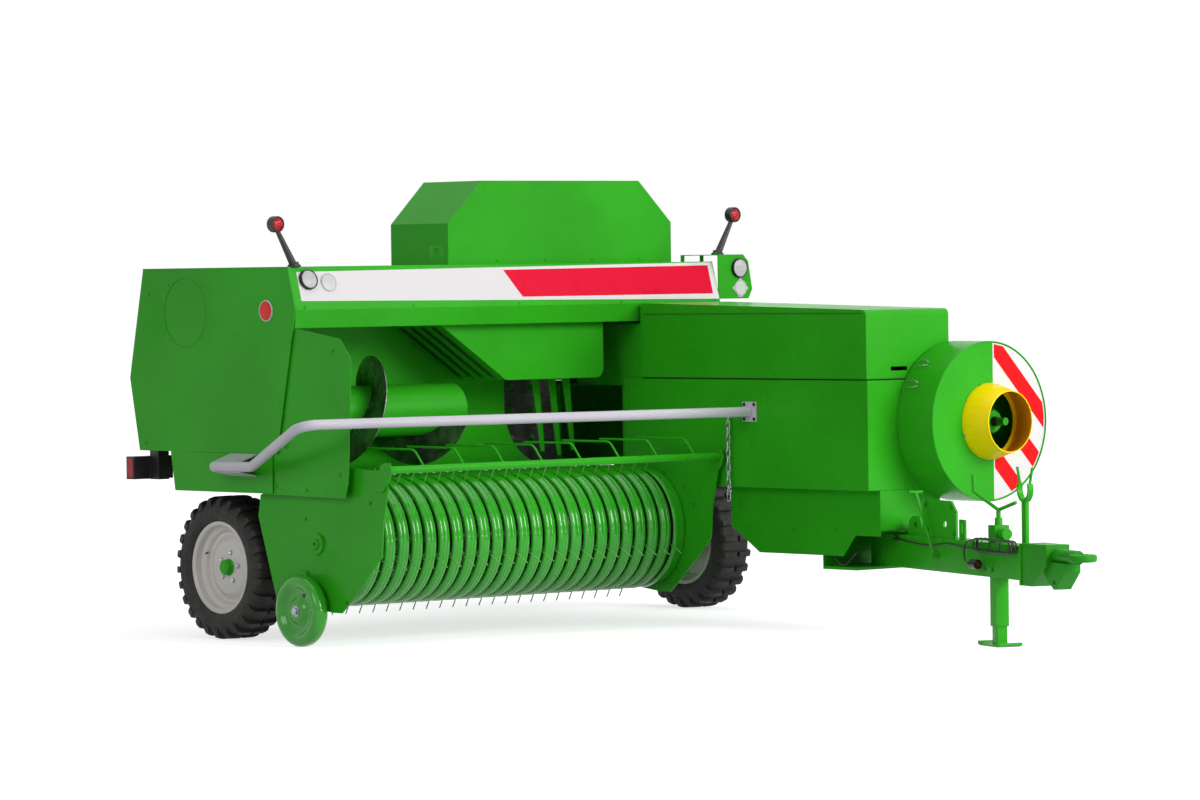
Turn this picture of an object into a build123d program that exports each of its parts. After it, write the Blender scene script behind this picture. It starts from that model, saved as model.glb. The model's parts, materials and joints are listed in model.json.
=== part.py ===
from build123d import *
from math import atan2, cos, degrees, pi, radians, sin, sqrt, tan
import os

# Square baler, a towed press that lifts a windrow and ties it into small bales.
# Millimetres. X runs to the machine's left, Y to its rear, Z up.
# Everything is laid out from the ground under the right wheel's outer face,
# and moved at the end so that the origin is under the middle of the whole machine.

# Sheet steel
skin = 4.0
plate = 6.0
seat = 0.3
clear = 5.0

# Bale chamber
chamber_inner_width = 460.0
chamber_inner_height = 360.0
chamber_floor_z = 740.0
chamber_right_x = 1988.0
chamber_left_x = chamber_right_x + 2 * plate + chamber_inner_width
chamber_top_z = chamber_floor_z + chamber_inner_height
chamber_mid_x = (chamber_right_x + chamber_left_x) / 2
chamber_front_y = -2160.0
chamber_rear_y = 1880.0
chamber_top_front_y = -240.0
chamber_top_rear_y = 900.0
inlet_front_y = -510.0
inlet_rear_y = -60.0
rail_height = 60.0
rail_width = 70.0
stiffener = 30.0

# Wheels and axle
tyre_radius = 324.0
tyre_width = 196.0
lug_depth = 13.0
lug_count = 26
lug_length = 30.0
rim_flange_radius = 208.0
rim_seat_radius = 191.0
rim_well_radius = 166.0
rim_width = 152.0
disc_inset = 26.0
hub_radius = 46.0
hub_length = 86.0
hub_cap_radius = 38.0
hub_cap_length = 34.0
spindle_radius = 22.0
running_clearance = 0.08
right_wheel_x = 98.0
left_wheel_x = chamber_right_x + 891.0
axle_beam_size = 90.0
axle_beam_gap = 34.0

frame_bottom_z = 780.0
frame_y = 200.0
frame_post_x = 340.0

# Body over the pickup
body_right_x = -30.0
body_left_x = chamber_left_x + 30.0
deck_z = 1672.0
deck_front_y = -600.0
nose_y = -653.0
nose_z = 1482.0
beam_bottom_y = -640.0
beam_bottom_z = 1400.0
beam_return = 70.0
beam_left_x = body_left_x - 9.0
lamp_plate_top_z = 1704.0
body_bottom_z = 845.0
body_bottom_front_y = -506.0
body_bottom_rear_y = 528.0
knee_y = 596.0
knee_z = 1175.0
deck_rear_y = 482.0
panel_setback = 15.0
emboss_radius = 157.0
emboss_depth = 1.5
emboss_y = 165.0
emboss_z = 1471.0

# Hood on the deck
hood_right_x = 1125.0
hood_left_x = body_left_x - 1.0
hood_front_y = -300.0
hood_depth = 420.0
hood_shoulder_z = 1862.0
hood_top_z = 2058.0
hood_slope_width = 200.0

# Header behind the pickup
auger_y = -450.0
auger_z = 1018.0
auger_tube_radius = 117.0
auger_flight_radius = 250.0
auger_pitch = 500.0
auger_turns = 1.95
auger_length = 1010.0
auger_shaft_radius = 25.0
flight_thickness = 5.0
trough_gap = 12.0
trough_front_y = -535.0
header_left_x = chamber_right_x - 448.0
end_plate_x = -21.0
skirt_bottom_z = 668.0
skirt_rear_y = 262.0
skirt_x = -29.0

# Feeder housing under the beam
feeder_right_x = 865.0
feeder_slope_x = 1245.0
feeder_left_x = chamber_right_x - 156.0
feeder_bottom_z = 1142.0
feeder_front_y = -560.0
feeder_corner = 45.0
slot_count = 4
slot_width = 14.0

# Front box over the plunger drive
box_right_x = chamber_right_x - 18.0
box_left_x = chamber_left_x + 20.0
box_front_y = -2185.0
box_rear_y = -665.0
panel_rear_y = -546.0
box_bottom_z = 645.0
seam_z = 1139.0
cover_rear_z = 1484.0
cover_front_z = 1447.0
cover_corner = 28.0
seam_gap = 5.0
skirt_front_bottom_z = 440.0
skirt_low_z = 346.0
skirt_right_inset = 70.0
skirt_left_inset = 74.0

# Flywheel guard and drive shaft cone
drum_x = box_left_x + 25.0
drum_z = 942.0
drum_radius = 358.0
drum_depth = 222.0
drum_wall = 3.0
flywheel_radius = 320.0
flywheel_width = 60.0
cone_base_radius = 172.0
cone_mouth_radius = 138.0
cone_length = 132.0
shaft_radius = 17.5
shaft_length = 75.0

# Pickup
pickup_right_x = 20.0
pickup_left_x = box_right_x - 30.0
pickup_y = -725.0
pickup_z = 452.0
band_radius = 280.0
band_count = 24
band_gap = 16.6
end_band_width = 69.0
band_pitch = (pickup_left_x - pickup_right_x - 2 * plate - 2 * seat - end_band_width) / band_count
band_width = band_pitch - band_gap
band_thickness = 3.0
band_rear_y = -480.0
band_low_y = -466.0
tine_reach = 345.0
tine_bar_circle = 195.0
tine_bar_radius = 13.0
tine_bar_count = 4
tine_size = 5.0
reel_shaft_radius = 20.0
spider_thickness = 8.0
lift_y = -540.0
lift_z = 705.0
lift_pin_radius = 12.0

# Wind guard
guard_bar_y = -1225.0
guard_bar_z = 785.0
guard_bar_radius = 17.0
guard_rod_radius = 5.0
guard_rod_count = 8
guard_rod_first_x = 227.0
guard_rod_last_gap = 138.0
guard_rod_pitch = (pickup_left_x - guard_rod_last_gap - guard_rod_first_x) / (guard_rod_count - 1)
guard_rod_rise = 83.0
guard_rod_run = 74.0
guard_rod_leg = 330.0

# Gauge wheel
gauge_x = -35.0
gauge_y = -670.0
gauge_radius = 158.0
gauge_width = 74.0
gauge_axle_radius = 12.5

# Safety tube round the header
rail_radius = 22.5
rail_left_y = -1412.0
rail_z = 988.0
rail_right_x = -330.0
rail_end_x = -125.0
rail_right_y = -1065.0
rail_low_z = 790.0
rail_slope_low_y = -440.0
rail_end_y = -160.0

# Drawbar
swing_angle = 19.0
swing_x = chamber_mid_x + 89.0
swing_y = -1908.0
drawbar_bottom_z = 298.0
drawbar_height = 147.0
drawbar_width = 100.0
drawbar_wall = 8.0
drawbar_length = 1520.0
swing_pin_radius = 25.0
head_length = 230.0
head_width = 110.0
eye_at = drawbar_length + 475.0
eye_z = 412.0
eye_bore_radius = 25.0
eye_outer_radius = 60.0
eye_height = 32.0
shank_radius = 30.0

# Jack
jack_at = drawbar_length - 320.0
fitting_share = jack_at / 1200.0
jack_tube_size = 60.0
jack_wall = 5.0
jack_leg_clear = 0.3
jack_top_z = 540.0
jack_bottom_z = 85.0
jack_lift = 75.0
foot_length = 170.0
foot_width = 110.0
foot_thickness = 8.0

# Knotters and chute
knotter_y = 780.0
knotter_spread = 200.0
chute_y = 1912.0
chute_z = 712.0
chute_length = 420.0

# Pickup chain
chain_link_radius = 20.0
chain_wire = 3.5
chain_links = 11
chain_y = -1290.0
chain_inner = chain_link_radius - chain_wire - seat / 2

# Cover hinges
hinge_radius = 9.0
hinge_pin_radius = 4.0
hinge_length = 120.0
hinge_places = (-2050.0, -900.0)

# Lamp cable on the drawbar
cable_radius = 4.0
cable_start_y = -270.0
cable_z = 424.0
hank_rear_y = -1100.0
hank_front_y = -1500.0
hank_z = 437.0
hank_depth = 40.0
hank_height = 60.0
cable_run_points = [
    (-58, -270, 424), (-58, -330, 424), (-60, -390, 419), (-57, -452, 414), (-58, -512, 411),
    (-56, -570, 409), (-55, -628, 411), (-56, -690, 416), (-56, -750, 424), (-60, -812, 428),
    (-62, -872, 427),
    (-66, -932, 423), (-70, -992, 424), (-69, -1048, 433), (-69, -1100, 433),
]
cable_tail_points = [
    (-84, -1100, 448), (-84, -1060, 448), (-86, -1031, 420), (-86, -1031, 380),
    (-88, -1060, 352), (-88, -1100, 352),
]

trough_radius = auger_flight_radius + trough_gap
trough_rear_y = auger_y + trough_radius
body_profile = [
    (deck_front_y, deck_z),
    (nose_y, nose_z),
    (body_bottom_front_y, body_bottom_z),
    (body_bottom_rear_y, body_bottom_z),
    (knee_y, knee_z),
    (deck_rear_y, deck_z),
]


def block(x0, x1, y0, y1, z0, z1):
    """A box between two corners."""
    middle = Pos((x0 + x1) / 2, (y0 + y1) / 2, (z0 + z1) / 2)
    return middle * Box(abs(x1 - x0), abs(y1 - y0), abs(z1 - z0))


def side_plate(points, x, thickness=skin):
    """An outline of (y, z) points, thickened towards +X."""
    face = Plane.YZ.offset(x) * Polygon(*points, align=None)
    return extrude(face, thickness, dir=(1, 0, 0))


def front_plate(points, y, thickness=skin):
    """An outline of (x, z) points, thickened towards +Y."""
    face = Plane.XZ.offset(-y) * Polygon(*points, align=None)
    return extrude(face, thickness, dir=(0, 1, 0))


def bar_x(radius, x0, x1, y, z):
    """A round bar along X."""
    return Pos(x0, y, z) * extrude(Plane.YZ * Circle(radius), x1 - x0)


def bar_y(radius, y0, y1, x, z):
    """A round bar along Y."""
    return Pos(x, y0, z) * extrude(Plane.XZ * Circle(radius), y0 - y1)


def bar_z(radius, z0, z1, x, y):
    """A round bar along Z."""
    return Pos(x, y, z0) * extrude(Plane.XY * Circle(radius), z1 - z0)


def rod(start, end, radius):
    """A round bar between any two points."""
    start = Vector(*start)
    end = Vector(*end)
    along = Plane(origin=start, z_dir=end - start)
    return extrude(along * Circle(radius), (end - start).length)


def folded(points, thickness=skin):
    """The closed outline of a folded sheet: a run of points and its mitred offset to the left."""
    runs = [Vector(*b) - Vector(*a) for a, b in zip(points, points[1:])]
    normals = [Vector(-run.Y, run.X).normalized() for run in runs]
    offset = []
    for index, point in enumerate(points):
        before = normals[max(index - 1, 0)]
        after = normals[min(index, len(normals) - 1)]
        mitre = (before + after).normalized()
        reach = thickness / mitre.dot(after)
        offset.append((point[0] + mitre.X * reach, point[1] + mitre.Y * reach))
    return list(points) + offset[::-1]


def round_outline(points, radius, corners):
    """A face whose named corners, given by their places in the list, are rounded."""
    face = Polygon(*points, align=None)
    picked = []
    for index in corners:
        corner = Vector(*points[index])
        picked.append(min(face.vertices(), key=lambda v: (Vector(v) - corner).length))
    return fillet(picked, radius)


def turned(points):
    """A solid of revolution about X from (x, radius) points."""
    face = Plane.XY * Polygon(*points, align=None)
    return revolve(face, Axis.X)


def wheel_tyre(x):
    """A tyre with two rows of shoulder lugs, out to the lugs' tips."""
    half = tyre_width / 2
    tread = tyre_radius - lug_depth
    bead = rim_width / 2 - skin
    profile = [
        (-bead, rim_seat_radius), (-bead, rim_flange_radius + 1),
        (-half + 8, rim_flange_radius + 12), (-half, tyre_radius - 62),
        (-half + 8, tyre_radius - 26), (-half + 26, tread),
        (half - 26, tread), (half - 8, tyre_radius - 26),
        (half, tyre_radius - 62), (half - 8, rim_flange_radius + 12),
        (bead, rim_flange_radius + 1), (bead, rim_seat_radius),
    ]
    carcass = turned(profile)
    lugs = []
    lug_inner = 12.0
    lug_top = sqrt(tyre_radius ** 2 - (lug_length / 2) ** 2)
    for row in (-1, 1):
        for index in range(lug_count):
            angle = 360 / lug_count * (index + (0.25 if row > 0 else 0.75))
            lug = block(lug_inner, half - 6, -lug_length / 2, lug_length / 2, tread - 20, lug_top)
            lug = chamfer(lug.edges().filter_by(Axis.Y).group_by(Axis.Z)[-1].sort_by(Axis.X)[-1], 18)
            if row < 0:
                lug = Rot(0, 0, 180) * lug
            lugs.append(Rot(angle, 0, 0) * lug)
    return Pos(x, 0, tyre_radius) * (carcass + lugs)


def wheel_rim(x, outside):
    """A pressed rim with a stepped well, its disc, hub and grease cap. outside is -1 or 1."""
    half = rim_width / 2
    barrel = [
        (-half, rim_flange_radius), (-half + skin, rim_seat_radius),
        (-half + 34, rim_seat_radius - 2), (-half + 46, rim_well_radius),
        (half - 58, rim_well_radius), (half - 46, rim_seat_radius - 2),
        (half - skin, rim_seat_radius), (half, rim_flange_radius),
    ]
    back = hub_length - disc_inset
    dish = [
        (-10, rim_well_radius - 1), (-14, rim_well_radius - 18),
        (-disc_inset, rim_well_radius - 46), (-disc_inset, 0),
        (plate - disc_inset, 0), (plate - disc_inset, rim_well_radius - 44),
        (plate - 14, rim_well_radius - 18), (plate - 10, rim_well_radius - 1),
    ]
    cap = [
        (-disc_inset - hub_cap_length, 0), (-disc_inset - hub_cap_length, hub_cap_radius - 6),
        (-disc_inset - hub_cap_length + 6, hub_cap_radius), (-disc_inset, hub_cap_radius), (-disc_inset, 0),
    ]
    bore = spindle_radius + running_clearance
    hub = [(plate - disc_inset, bore), (plate - disc_inset, hub_radius), (back, hub_radius), (back, bore)]
    shape = turned(folded(barrel, -skin)) + turned(dish) + turned(cap) + turned(hub)
    if outside > 0:
        shape = Rot(0, 0, 180) * shape
    return Pos(x, 0, tyre_radius) * shape


def axle():
    """The square axle beam on the ground line of the wheel centres, with its spindles and saddles."""
    half = axle_beam_size / 2
    inner = hub_length - disc_inset
    right_end = right_wheel_x + inner + seat
    left_end = left_wheel_x - inner - seat
    tip = disc_inset - plate - seat
    beam_x0, beam_x1 = right_end + axle_beam_gap, left_end - axle_beam_gap
    shape = block(beam_x0, beam_x1, -half, half, tyre_radius - half, tyre_radius + half)
    shape += bar_x(hub_radius, right_end, right_end + axle_beam_gap, 0, tyre_radius)
    shape += bar_x(hub_radius, left_end - axle_beam_gap, left_end, 0, tyre_radius)
    shape += bar_x(spindle_radius, right_wheel_x - tip, right_end, 0, tyre_radius)
    shape += bar_x(spindle_radius, left_end, left_wheel_x + tip, 0, tyre_radius)
    top = tyre_radius + half
    for x in (chamber_right_x + plate, chamber_left_x - 2 * plate):
        shape += block(x, x + plate, -half - 40, half + 40, top, chamber_floor_z - plate)
    shape += block(frame_post_x, frame_post_x + 80, -40, 40, top, frame_bottom_z)
    return shape


def chamber():
    """The bale chamber as separate plates: walls with the inlet on the right, floor and part of a top."""
    x0, x1 = chamber_right_x, chamber_left_x
    z0, z1 = chamber_floor_z, chamber_top_z
    wall_bottom, wall_top = z0 - plate, z1 + plate
    inner0, inner1 = x0 + plate + seat, x1 - plate - seat
    plates = [
        block(x0, x0 + plate, chamber_front_y, inlet_front_y, wall_bottom, wall_top),
        block(x0, x0 + plate, inlet_rear_y, chamber_rear_y, wall_bottom, wall_top),
        block(x0, x0 + plate, inlet_front_y + seat, inlet_rear_y - seat, z1, wall_top),
        block(x0, x0 + plate, box_rear_y + 10, trough_rear_y, wall_top + seat, beam_bottom_z - 12),
        block(x1 - plate, x1, chamber_front_y, chamber_rear_y, wall_bottom, wall_top),
        block(inner0, inner1, chamber_front_y, chamber_top_rear_y, wall_bottom, z0),
        block(inner0, inner1, chamber_top_front_y, chamber_top_rear_y, z1, wall_top),
    ]
    for y in (chamber_top_rear_y + 60, chamber_rear_y - stiffener):
        plates.append(block(x0 - stiffener, x0 - seat, y, y + stiffener, z0 - 60, z1 + 60))
        plates.append(block(x1 + seat, x1 + stiffener, y, y + stiffener, z0 - 60, z1 + 60))
    for y in (chamber_front_y, -1200.0):
        plates.append(block(x0, x1, y, y + 60, z0 - 66, wall_bottom - seat))
    for y in (deck_front_y + 200, deck_rear_y - 120):
        plates.append(block(x1 + seat, body_left_x - skin - seat, y, y + 80, z1 - 60, wall_top + 60))
    return Part() + plates


def density_rails():
    """Two bottom and two top rails that squeeze the bale, with their cross yokes and screw springs."""
    x0, x1 = chamber_right_x + plate, chamber_left_x - plate
    start, end = chamber_top_rear_y + seat, chamber_rear_y
    shapes = []
    yoke_y = chamber_rear_y - 130.0
    for z, way in ((chamber_floor_z, -1), (chamber_top_z, 1)):
        for x in (x0 + 30, x1 - 30 - rail_width):
            shapes.append(block(x, x + rail_width, start, end, z, z + way * rail_height))
        level = z + way * rail_height
        shapes.append(block(x0 - 90, x1 + 90, yoke_y, yoke_y + 60, level, level + way * 50))
    low = chamber_floor_z - rail_height - 50
    high = chamber_top_z + rail_height + 50
    for x in (x0 - 60, x1 + 60):
        shapes.append(bar_z(11, low - 30, high + 190, x, yoke_y + 30))
        shapes.append(bar_z(32, high, high + 130, x, yoke_y + 30))
        shapes.append(bar_z(36, high + 130, high + 138, x, yoke_y + 30))
        shapes.append(bar_x(8, x - 70, x + 70, yoke_y + 30, high + 174))
    return Part() + shapes


def plunger():
    """The ram that presses the hay: a slotted face, side cheeks and runners."""
    x0, x1 = chamber_right_x + plate + clear, chamber_left_x - plate - clear
    z0, z1 = chamber_floor_z + clear, chamber_top_z - clear
    face = inlet_front_y - 60.0
    back = face - 420.0
    shape = block(x0, x1, face - 20, face, z0, z1)
    for z in (z0 + 90, z0 + 175, z0 + 260):
        shape -= block(x0 + 40, x1 - 40, face - 21, face + 1, z - 7, z + 7)
    shape += block(x0, x0 + 10, back, face, z0, z1)
    shape += block(x1 - 10, x1, back, face, z0, z1)
    shape += block(x0, x1, back, back + 20, z0, z1)
    for x in (x0 + 30, x1 - 90):
        shape += block(x, x + 60, back, face, chamber_floor_z + seat, z0)
    return shape


def gearbox():
    """The gearbox as one block on the front of the chamber, with its crank disc."""
    x0, x1 = chamber_right_x + plate, chamber_left_x - plate
    z = chamber_floor_z
    shape = block(x0, x1, chamber_front_y + 60, chamber_front_y + 420, z, z + 330)
    shape += bar_z(150, z + 330, z + 360, chamber_mid_x, chamber_front_y + 240)
    return shape


def main_frame():
    """Cross tube under the body, its posts to the header and the drawbar's swing pin housing."""
    z0 = frame_bottom_z
    z1 = body_bottom_z - skin - seat
    shape = block(skirt_x + skin + seat, chamber_right_x, frame_y, frame_y + 80, z0, z1)
    shape += block(frame_post_x, frame_post_x + 80, -40, frame_y, z0, z1)
    return shape


def swing_mount():
    """Upper and lower plates under the chamber's front that carry the drawbar's swing pin."""
    x0 = box_right_x + skirt_right_inset + skin + clear
    x1 = box_left_x - skirt_left_inset - clear
    top = drawbar_bottom_z + drawbar_height
    z_floor = chamber_floor_z - plate
    shape = block(x0, x1, swing_y - 110, swing_y + 110, top + seat, top + seat + 14)
    low = drawbar_bottom_z - seat
    shape += block(x0, x1, swing_y - 110, swing_y + 110, low - 14, low)
    for x in (x0, x1 - plate):
        shape += block(x, x + plate, swing_y - 110, swing_y + 110, top + seat + 14, z_floor)
    shape += block(x0, x1, swing_y + 110 - plate, swing_y + 110, drawbar_bottom_z - seat, top + seat)
    shape += block(x0, x1, swing_y - 110, swing_y + 110, z_floor - plate, z_floor)
    shape += bar_z(swing_pin_radius, drawbar_bottom_z - seat - 14, top + seat + 14, swing_x, swing_y)
    return shape


def side_panel_right():
    """The large right side panel with its pressed circle and bright front flange."""
    shape = side_plate(body_profile, body_right_x)
    centre = Pos(body_right_x, emboss_y, emboss_z)
    ring = centre * extrude(Plane.YZ * Circle(emboss_radius), emboss_depth)
    core = centre * extrude(Plane.YZ * Circle(emboss_radius - 4), emboss_depth)
    return shape - (ring - core)


def rear_panel():
    """The bent rear wall of the body, cut away round the chamber."""
    path = [body_profile[3], body_profile[4], body_profile[5]]
    wall = side_plate(folded(path), body_right_x + skin, body_left_x - body_right_x - 2 * skin)
    gap = block(chamber_right_x - clear, body_left_x, 0, knee_y + 100, 0, chamber_top_z + plate + clear)
    return wall - gap


def deck():
    """The flat top of the body with the sloped nose beam under its front edge."""
    inner = body_right_x + skin
    top = [(deck_front_y, deck_z), (deck_rear_y - skin - seat, deck_z)]
    return block(inner, body_left_x - skin, deck_front_y + skin + seat, top[1][0], deck_z - skin, deck_z)


def nose_beam():
    """The folded front beam that carries the stripe and the lamps."""
    path = [
        (deck_front_y, deck_z), (nose_y, nose_z), (beam_bottom_y, beam_bottom_z),
        (beam_bottom_y + beam_return, beam_bottom_z), (beam_bottom_y + beam_return, beam_bottom_z + 30),
    ]
    inner = body_right_x + skin
    return side_plate(folded(path), inner, beam_left_x - inner)


def lamp_plate():
    """The upright plate at the beam's left end that carries a lamp and a reflector."""
    outline = [
        (beam_left_x + seat, 1496), (beam_left_x + seat, lamp_plate_top_z),
        (beam_left_x + 159, lamp_plate_top_z), (beam_left_x + 191, 1672), (beam_left_x + 215, 1540),
        (beam_left_x + 191, 1496),
    ]
    shape = front_plate(outline, nose_y + 12, plate)
    top = lamp_plate_top_z
    shape += block(beam_left_x - 160, beam_left_x + 159, nose_y + 18, nose_y + 98, top - skin, top)
    for x in (beam_left_x - 160, beam_left_x - 40):
        shape += block(x, x + skin, deck_front_y + 20, nose_y + 98, deck_z + seat, lamp_plate_top_z - skin)
    return shape


def side_panel_left():
    """The left wall of the body above the chamber."""
    front = nose_y + 2 * panel_setback
    outline = [
        (deck_front_y + panel_setback, deck_z), (front, nose_z), (front, seam_z), (panel_rear_y, seam_z),
        (panel_rear_y, chamber_top_z + plate + seat), (knee_y - 30, chamber_top_z + plate + seat),
        body_profile[4], body_profile[5],
    ]
    return side_plate(outline, body_left_x - skin)


def hood():
    """The open-bottomed hood over the feeder drive, with its sloped ends and lifting lug."""
    def outline(gap):
        return [
            (hood_right_x + gap, deck_z + seat), (hood_right_x + gap, hood_shoulder_z - gap * 0.4),
            (hood_right_x + hood_slope_width + gap * 0.4, hood_top_z - gap),
            (hood_left_x - hood_slope_width - gap * 0.4, hood_top_z - gap),
            (hood_left_x - gap, hood_shoulder_z - gap * 0.4), (hood_left_x - gap, deck_z + seat),
        ]
    outer = front_plate(outline(0), hood_front_y, hood_depth)
    inner = front_plate(outline(skin), hood_front_y + skin, hood_depth - 2 * skin)
    lug_x = hood_right_x - 3
    y0, y1 = hood_front_y + 30, hood_front_y + 130
    lug = block(lug_x, lug_x + 3, y0, y1, deck_z + seat, deck_z + 88)
    lug -= block(lug_x - 1, lug_x + 4, y0 + 34, y0 + 64, deck_z + 48, deck_z + 74)
    return outer - inner + lug


def side_skirt():
    """The flat skirt under the right side panel."""
    outline = [
        (skirt_rear_y + 30, body_bottom_z - seat), (skirt_rear_y, skirt_bottom_z),
        (-466, skirt_bottom_z), (-466, body_bottom_z - seat),
    ]
    return side_plate(outline, skirt_x)


def end_plate():
    """The header's right end wall, which reaches forward past the body and carries the auger's bearing."""
    outline = [
        (-640, beam_bottom_z - seat), (-954, 1354), (-1030, 1267), (-1000, 728), (-976, 658),
        (-430, 664), (-430, 760), (-150, 760), (-150, beam_bottom_z - seat),
    ]
    wall = side_plate(outline, end_plate_x)
    boss = bar_x(60, end_plate_x + skin, end_plate_x + skin + 20, auger_y, auger_z)
    hole = bar_x(auger_shaft_radius + running_clearance, end_plate_x - 1, end_plate_x + 40, auger_y, auger_z)
    return wall + boss - hole


def feeder_housing():
    """The sheet housing under the beam whose sloped underside has the slots for the feeder's fingers."""
    top = beam_bottom_z - seat
    def outline(gap):
        points = [
            (feeder_right_x + gap * 1.5, top), (feeder_slope_x + gap * 0.5, feeder_bottom_z + gap),
            (feeder_left_x - gap, feeder_bottom_z + gap), (feeder_left_x - gap, top),
        ]
        return round_outline(points, feeder_corner - gap, [1, 2])
    depth = trough_rear_y - seat - feeder_front_y
    outer = extrude(Plane.XZ.offset(-feeder_front_y) * outline(0), depth, dir=(0, 1, 0))
    inner = extrude(Plane.XZ.offset(-feeder_front_y - skin) * outline(skin), depth, dir=(0, 1, 0))
    shape = outer - inner
    pitch = (depth - 60) / slot_count
    for index in range(slot_count):
        y = feeder_front_y + 30 + pitch * (index + 0.5)
        shape -= block(feeder_right_x + 90, feeder_slope_x + 60, y - slot_width / 2, y + slot_width / 2,
                       feeder_bottom_z - 20, top - 40)
    return shape


def header_trough():
    """The rolled trough round the auger, with its flat lip and upright back wall."""
    x0 = end_plate_x + skin
    outer = trough_radius + skin
    ring = Pos(x0, auger_y, auger_z) * extrude(
        Plane.YZ * (Circle(outer) - Circle(trough_radius)), header_left_x - x0)
    keep = block(x0, header_left_x, auger_y, auger_y + outer, auger_z - outer, auger_z)
    shape = ring & keep
    shape += block(x0, header_left_x, trough_front_y, auger_y, auger_z - outer, auger_z - trough_radius)
    shape += block(x0, header_left_x, trough_rear_y, trough_rear_y + skin, auger_z, beam_bottom_z - 2)
    return shape


def feed_plate():
    """The bare steel floor and back plate beside the chamber inlet, with round holes."""
    x0, x1 = header_left_x + seat, chamber_right_x - seat
    z0 = auger_z - trough_radius - skin
    shape = block(x0, x1, trough_front_y, inlet_rear_y + 30, z0, z0 + skin)
    shape += block(x0, x1, inlet_rear_y + 30, inlet_rear_y + 30 + skin, z0, body_bottom_z + 540)
    for x in (x0 + 60, x0 + 170, x0 + 290):
        for z in (850, 980, 1090):
            shape -= bar_y(19, inlet_rear_y + 20, inlet_rear_y + 50, x, z)
    return shape


def feeder_fingers():
    """Three flat packer fingers that hang from the feeder housing in front of the inlet."""
    shape = Part()
    for x, z in ((header_left_x + 50, 800), (header_left_x + 150, 780), (header_left_x + 235, 800)):
        outline = [(x, feeder_bottom_z - seat), (x + 44, feeder_bottom_z - seat), (x + 74, z), (x + 52, z)]
        shape += front_plate(outline, -330, 10)
    return shape


def auger():
    """The cross auger: a tube, its stub shaft and a flight that pushes the crop to the left."""
    x0 = end_plate_x + skin + 20 + seat
    tube = bar_x(auger_tube_radius, x0, x0 + auger_length, auger_y, auger_z)
    shaft = bar_x(auger_shaft_radius, end_plate_x - 1, x0, auger_y, auger_z)
    steps = 20
    count = int(auger_turns * steps)
    rings = []
    for index in range(count + 1):
        angle = 2 * pi * index / steps
        x = x0 + 12 + auger_pitch * index / steps
        corners = []
        root, rim = auger_tube_radius - 6, auger_flight_radius
        for radius, shift in ((root, 0), (rim, 0), (rim, flight_thickness), (root, flight_thickness)):
            corners.append(Vector(x + shift, auger_y + radius * cos(angle), auger_z + radius * sin(angle)))
        rings.append(corners)
    faces = [Face(Wire.make_polygon(rings[0])), Face(Wire.make_polygon(rings[-1]))]
    for near, far in zip(rings, rings[1:]):
        for side in range(4):
            a, b = near[side], near[(side + 1) % 4]
            c, d = far[(side + 1) % 4], far[side]
            faces.append(Face(Wire.make_polygon([a, b, c])))
            faces.append(Face(Wire.make_polygon([a, c, d])))
    flight = Solid(Shell(faces))
    return tube + shaft + flight


def box_panels():
    """The fixed lower side and front sheets of the front box."""
    z0, z1 = box_bottom_z, seam_z - seam_gap
    shape = block(box_right_x, box_right_x + skin, box_front_y, panel_rear_y, z0, z1)
    shape += block(box_left_x - skin, box_left_x, box_front_y, panel_rear_y, z0, z1)
    shape += block(box_right_x, box_left_x, box_front_y, box_front_y + skin, z0, z1)
    lip_x = box_right_x + skirt_right_inset + skin
    shape += block(box_right_x, lip_x, box_front_y, panel_rear_y, z0, z0 + skin)
    shape += block(box_left_x - skirt_left_inset, box_left_x, box_front_y, panel_rear_y, z0, z0 + skin)
    shape += block(box_right_x, chamber_right_x, panel_rear_y - skin, panel_rear_y, z0, z1)
    shape += block(chamber_left_x, box_left_x, panel_rear_y - skin, panel_rear_y, z0, z1)
    return shape


def box_skirt():
    """The cut-out skirt under the front box."""
    right = [
        (-1199, box_bottom_z - seat), (-1199, 463), (-1388, skirt_low_z), (-1943, skirt_low_z),
        (-2023, skirt_front_bottom_z), (box_front_y, skirt_front_bottom_z),
        (box_front_y, box_bottom_z - seat),
    ]
    x0, x1 = box_right_x + skirt_right_inset, box_left_x - skirt_left_inset
    shape = side_plate(right, x0)
    shape += side_plate(right, x1)
    front_low_z = drawbar_bottom_z + drawbar_height + 20
    shape += block(x0, x1, box_front_y, box_front_y + skin, front_low_z, box_bottom_z - seat)
    return shape


def box_cover():
    """The hinged cover of the front box, open below, with its sloped top."""
    front = box_front_y + clear
    def shell(gap, base):
        points = [
            (front + gap, base), (front + gap, cover_front_z - gap),
            (box_rear_y - gap, cover_rear_z - gap), (box_rear_y - gap, base),
        ]
        face = round_outline(points, cover_corner - gap, [1, 2])
        width = box_left_x - box_right_x - 2 * gap
        return extrude(Plane.YZ.offset(box_right_x + gap) * face, width, dir=(1, 0, 0))
    shape = shell(0, seam_z) - shell(skin, seam_z - 1)
    latch_x = box_right_x + 150
    shape -= block(latch_x, latch_x + 100, box_front_y - 1, box_front_y + 30, seam_z + 36, seam_z + 54)
    x, z = box_left_x + hinge_radius, seam_z - seam_gap / 2
    for y in hinge_places:
        shape += block(box_left_x, box_left_x + skin, y, y + hinge_length, z + 9, z + 40)
        y0, y1 = y + hinge_length / 3, y + hinge_length * 2 / 3 - seat
        shape += bar_y(hinge_radius - seat, y0, y1, x, z)
        shape += block(box_left_x, x, y0, y1, z + 4, z + 12)
        shape -= bar_y(hinge_pin_radius + running_clearance, y0 - 1, y1 + 1, x, z)
    return shape


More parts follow.
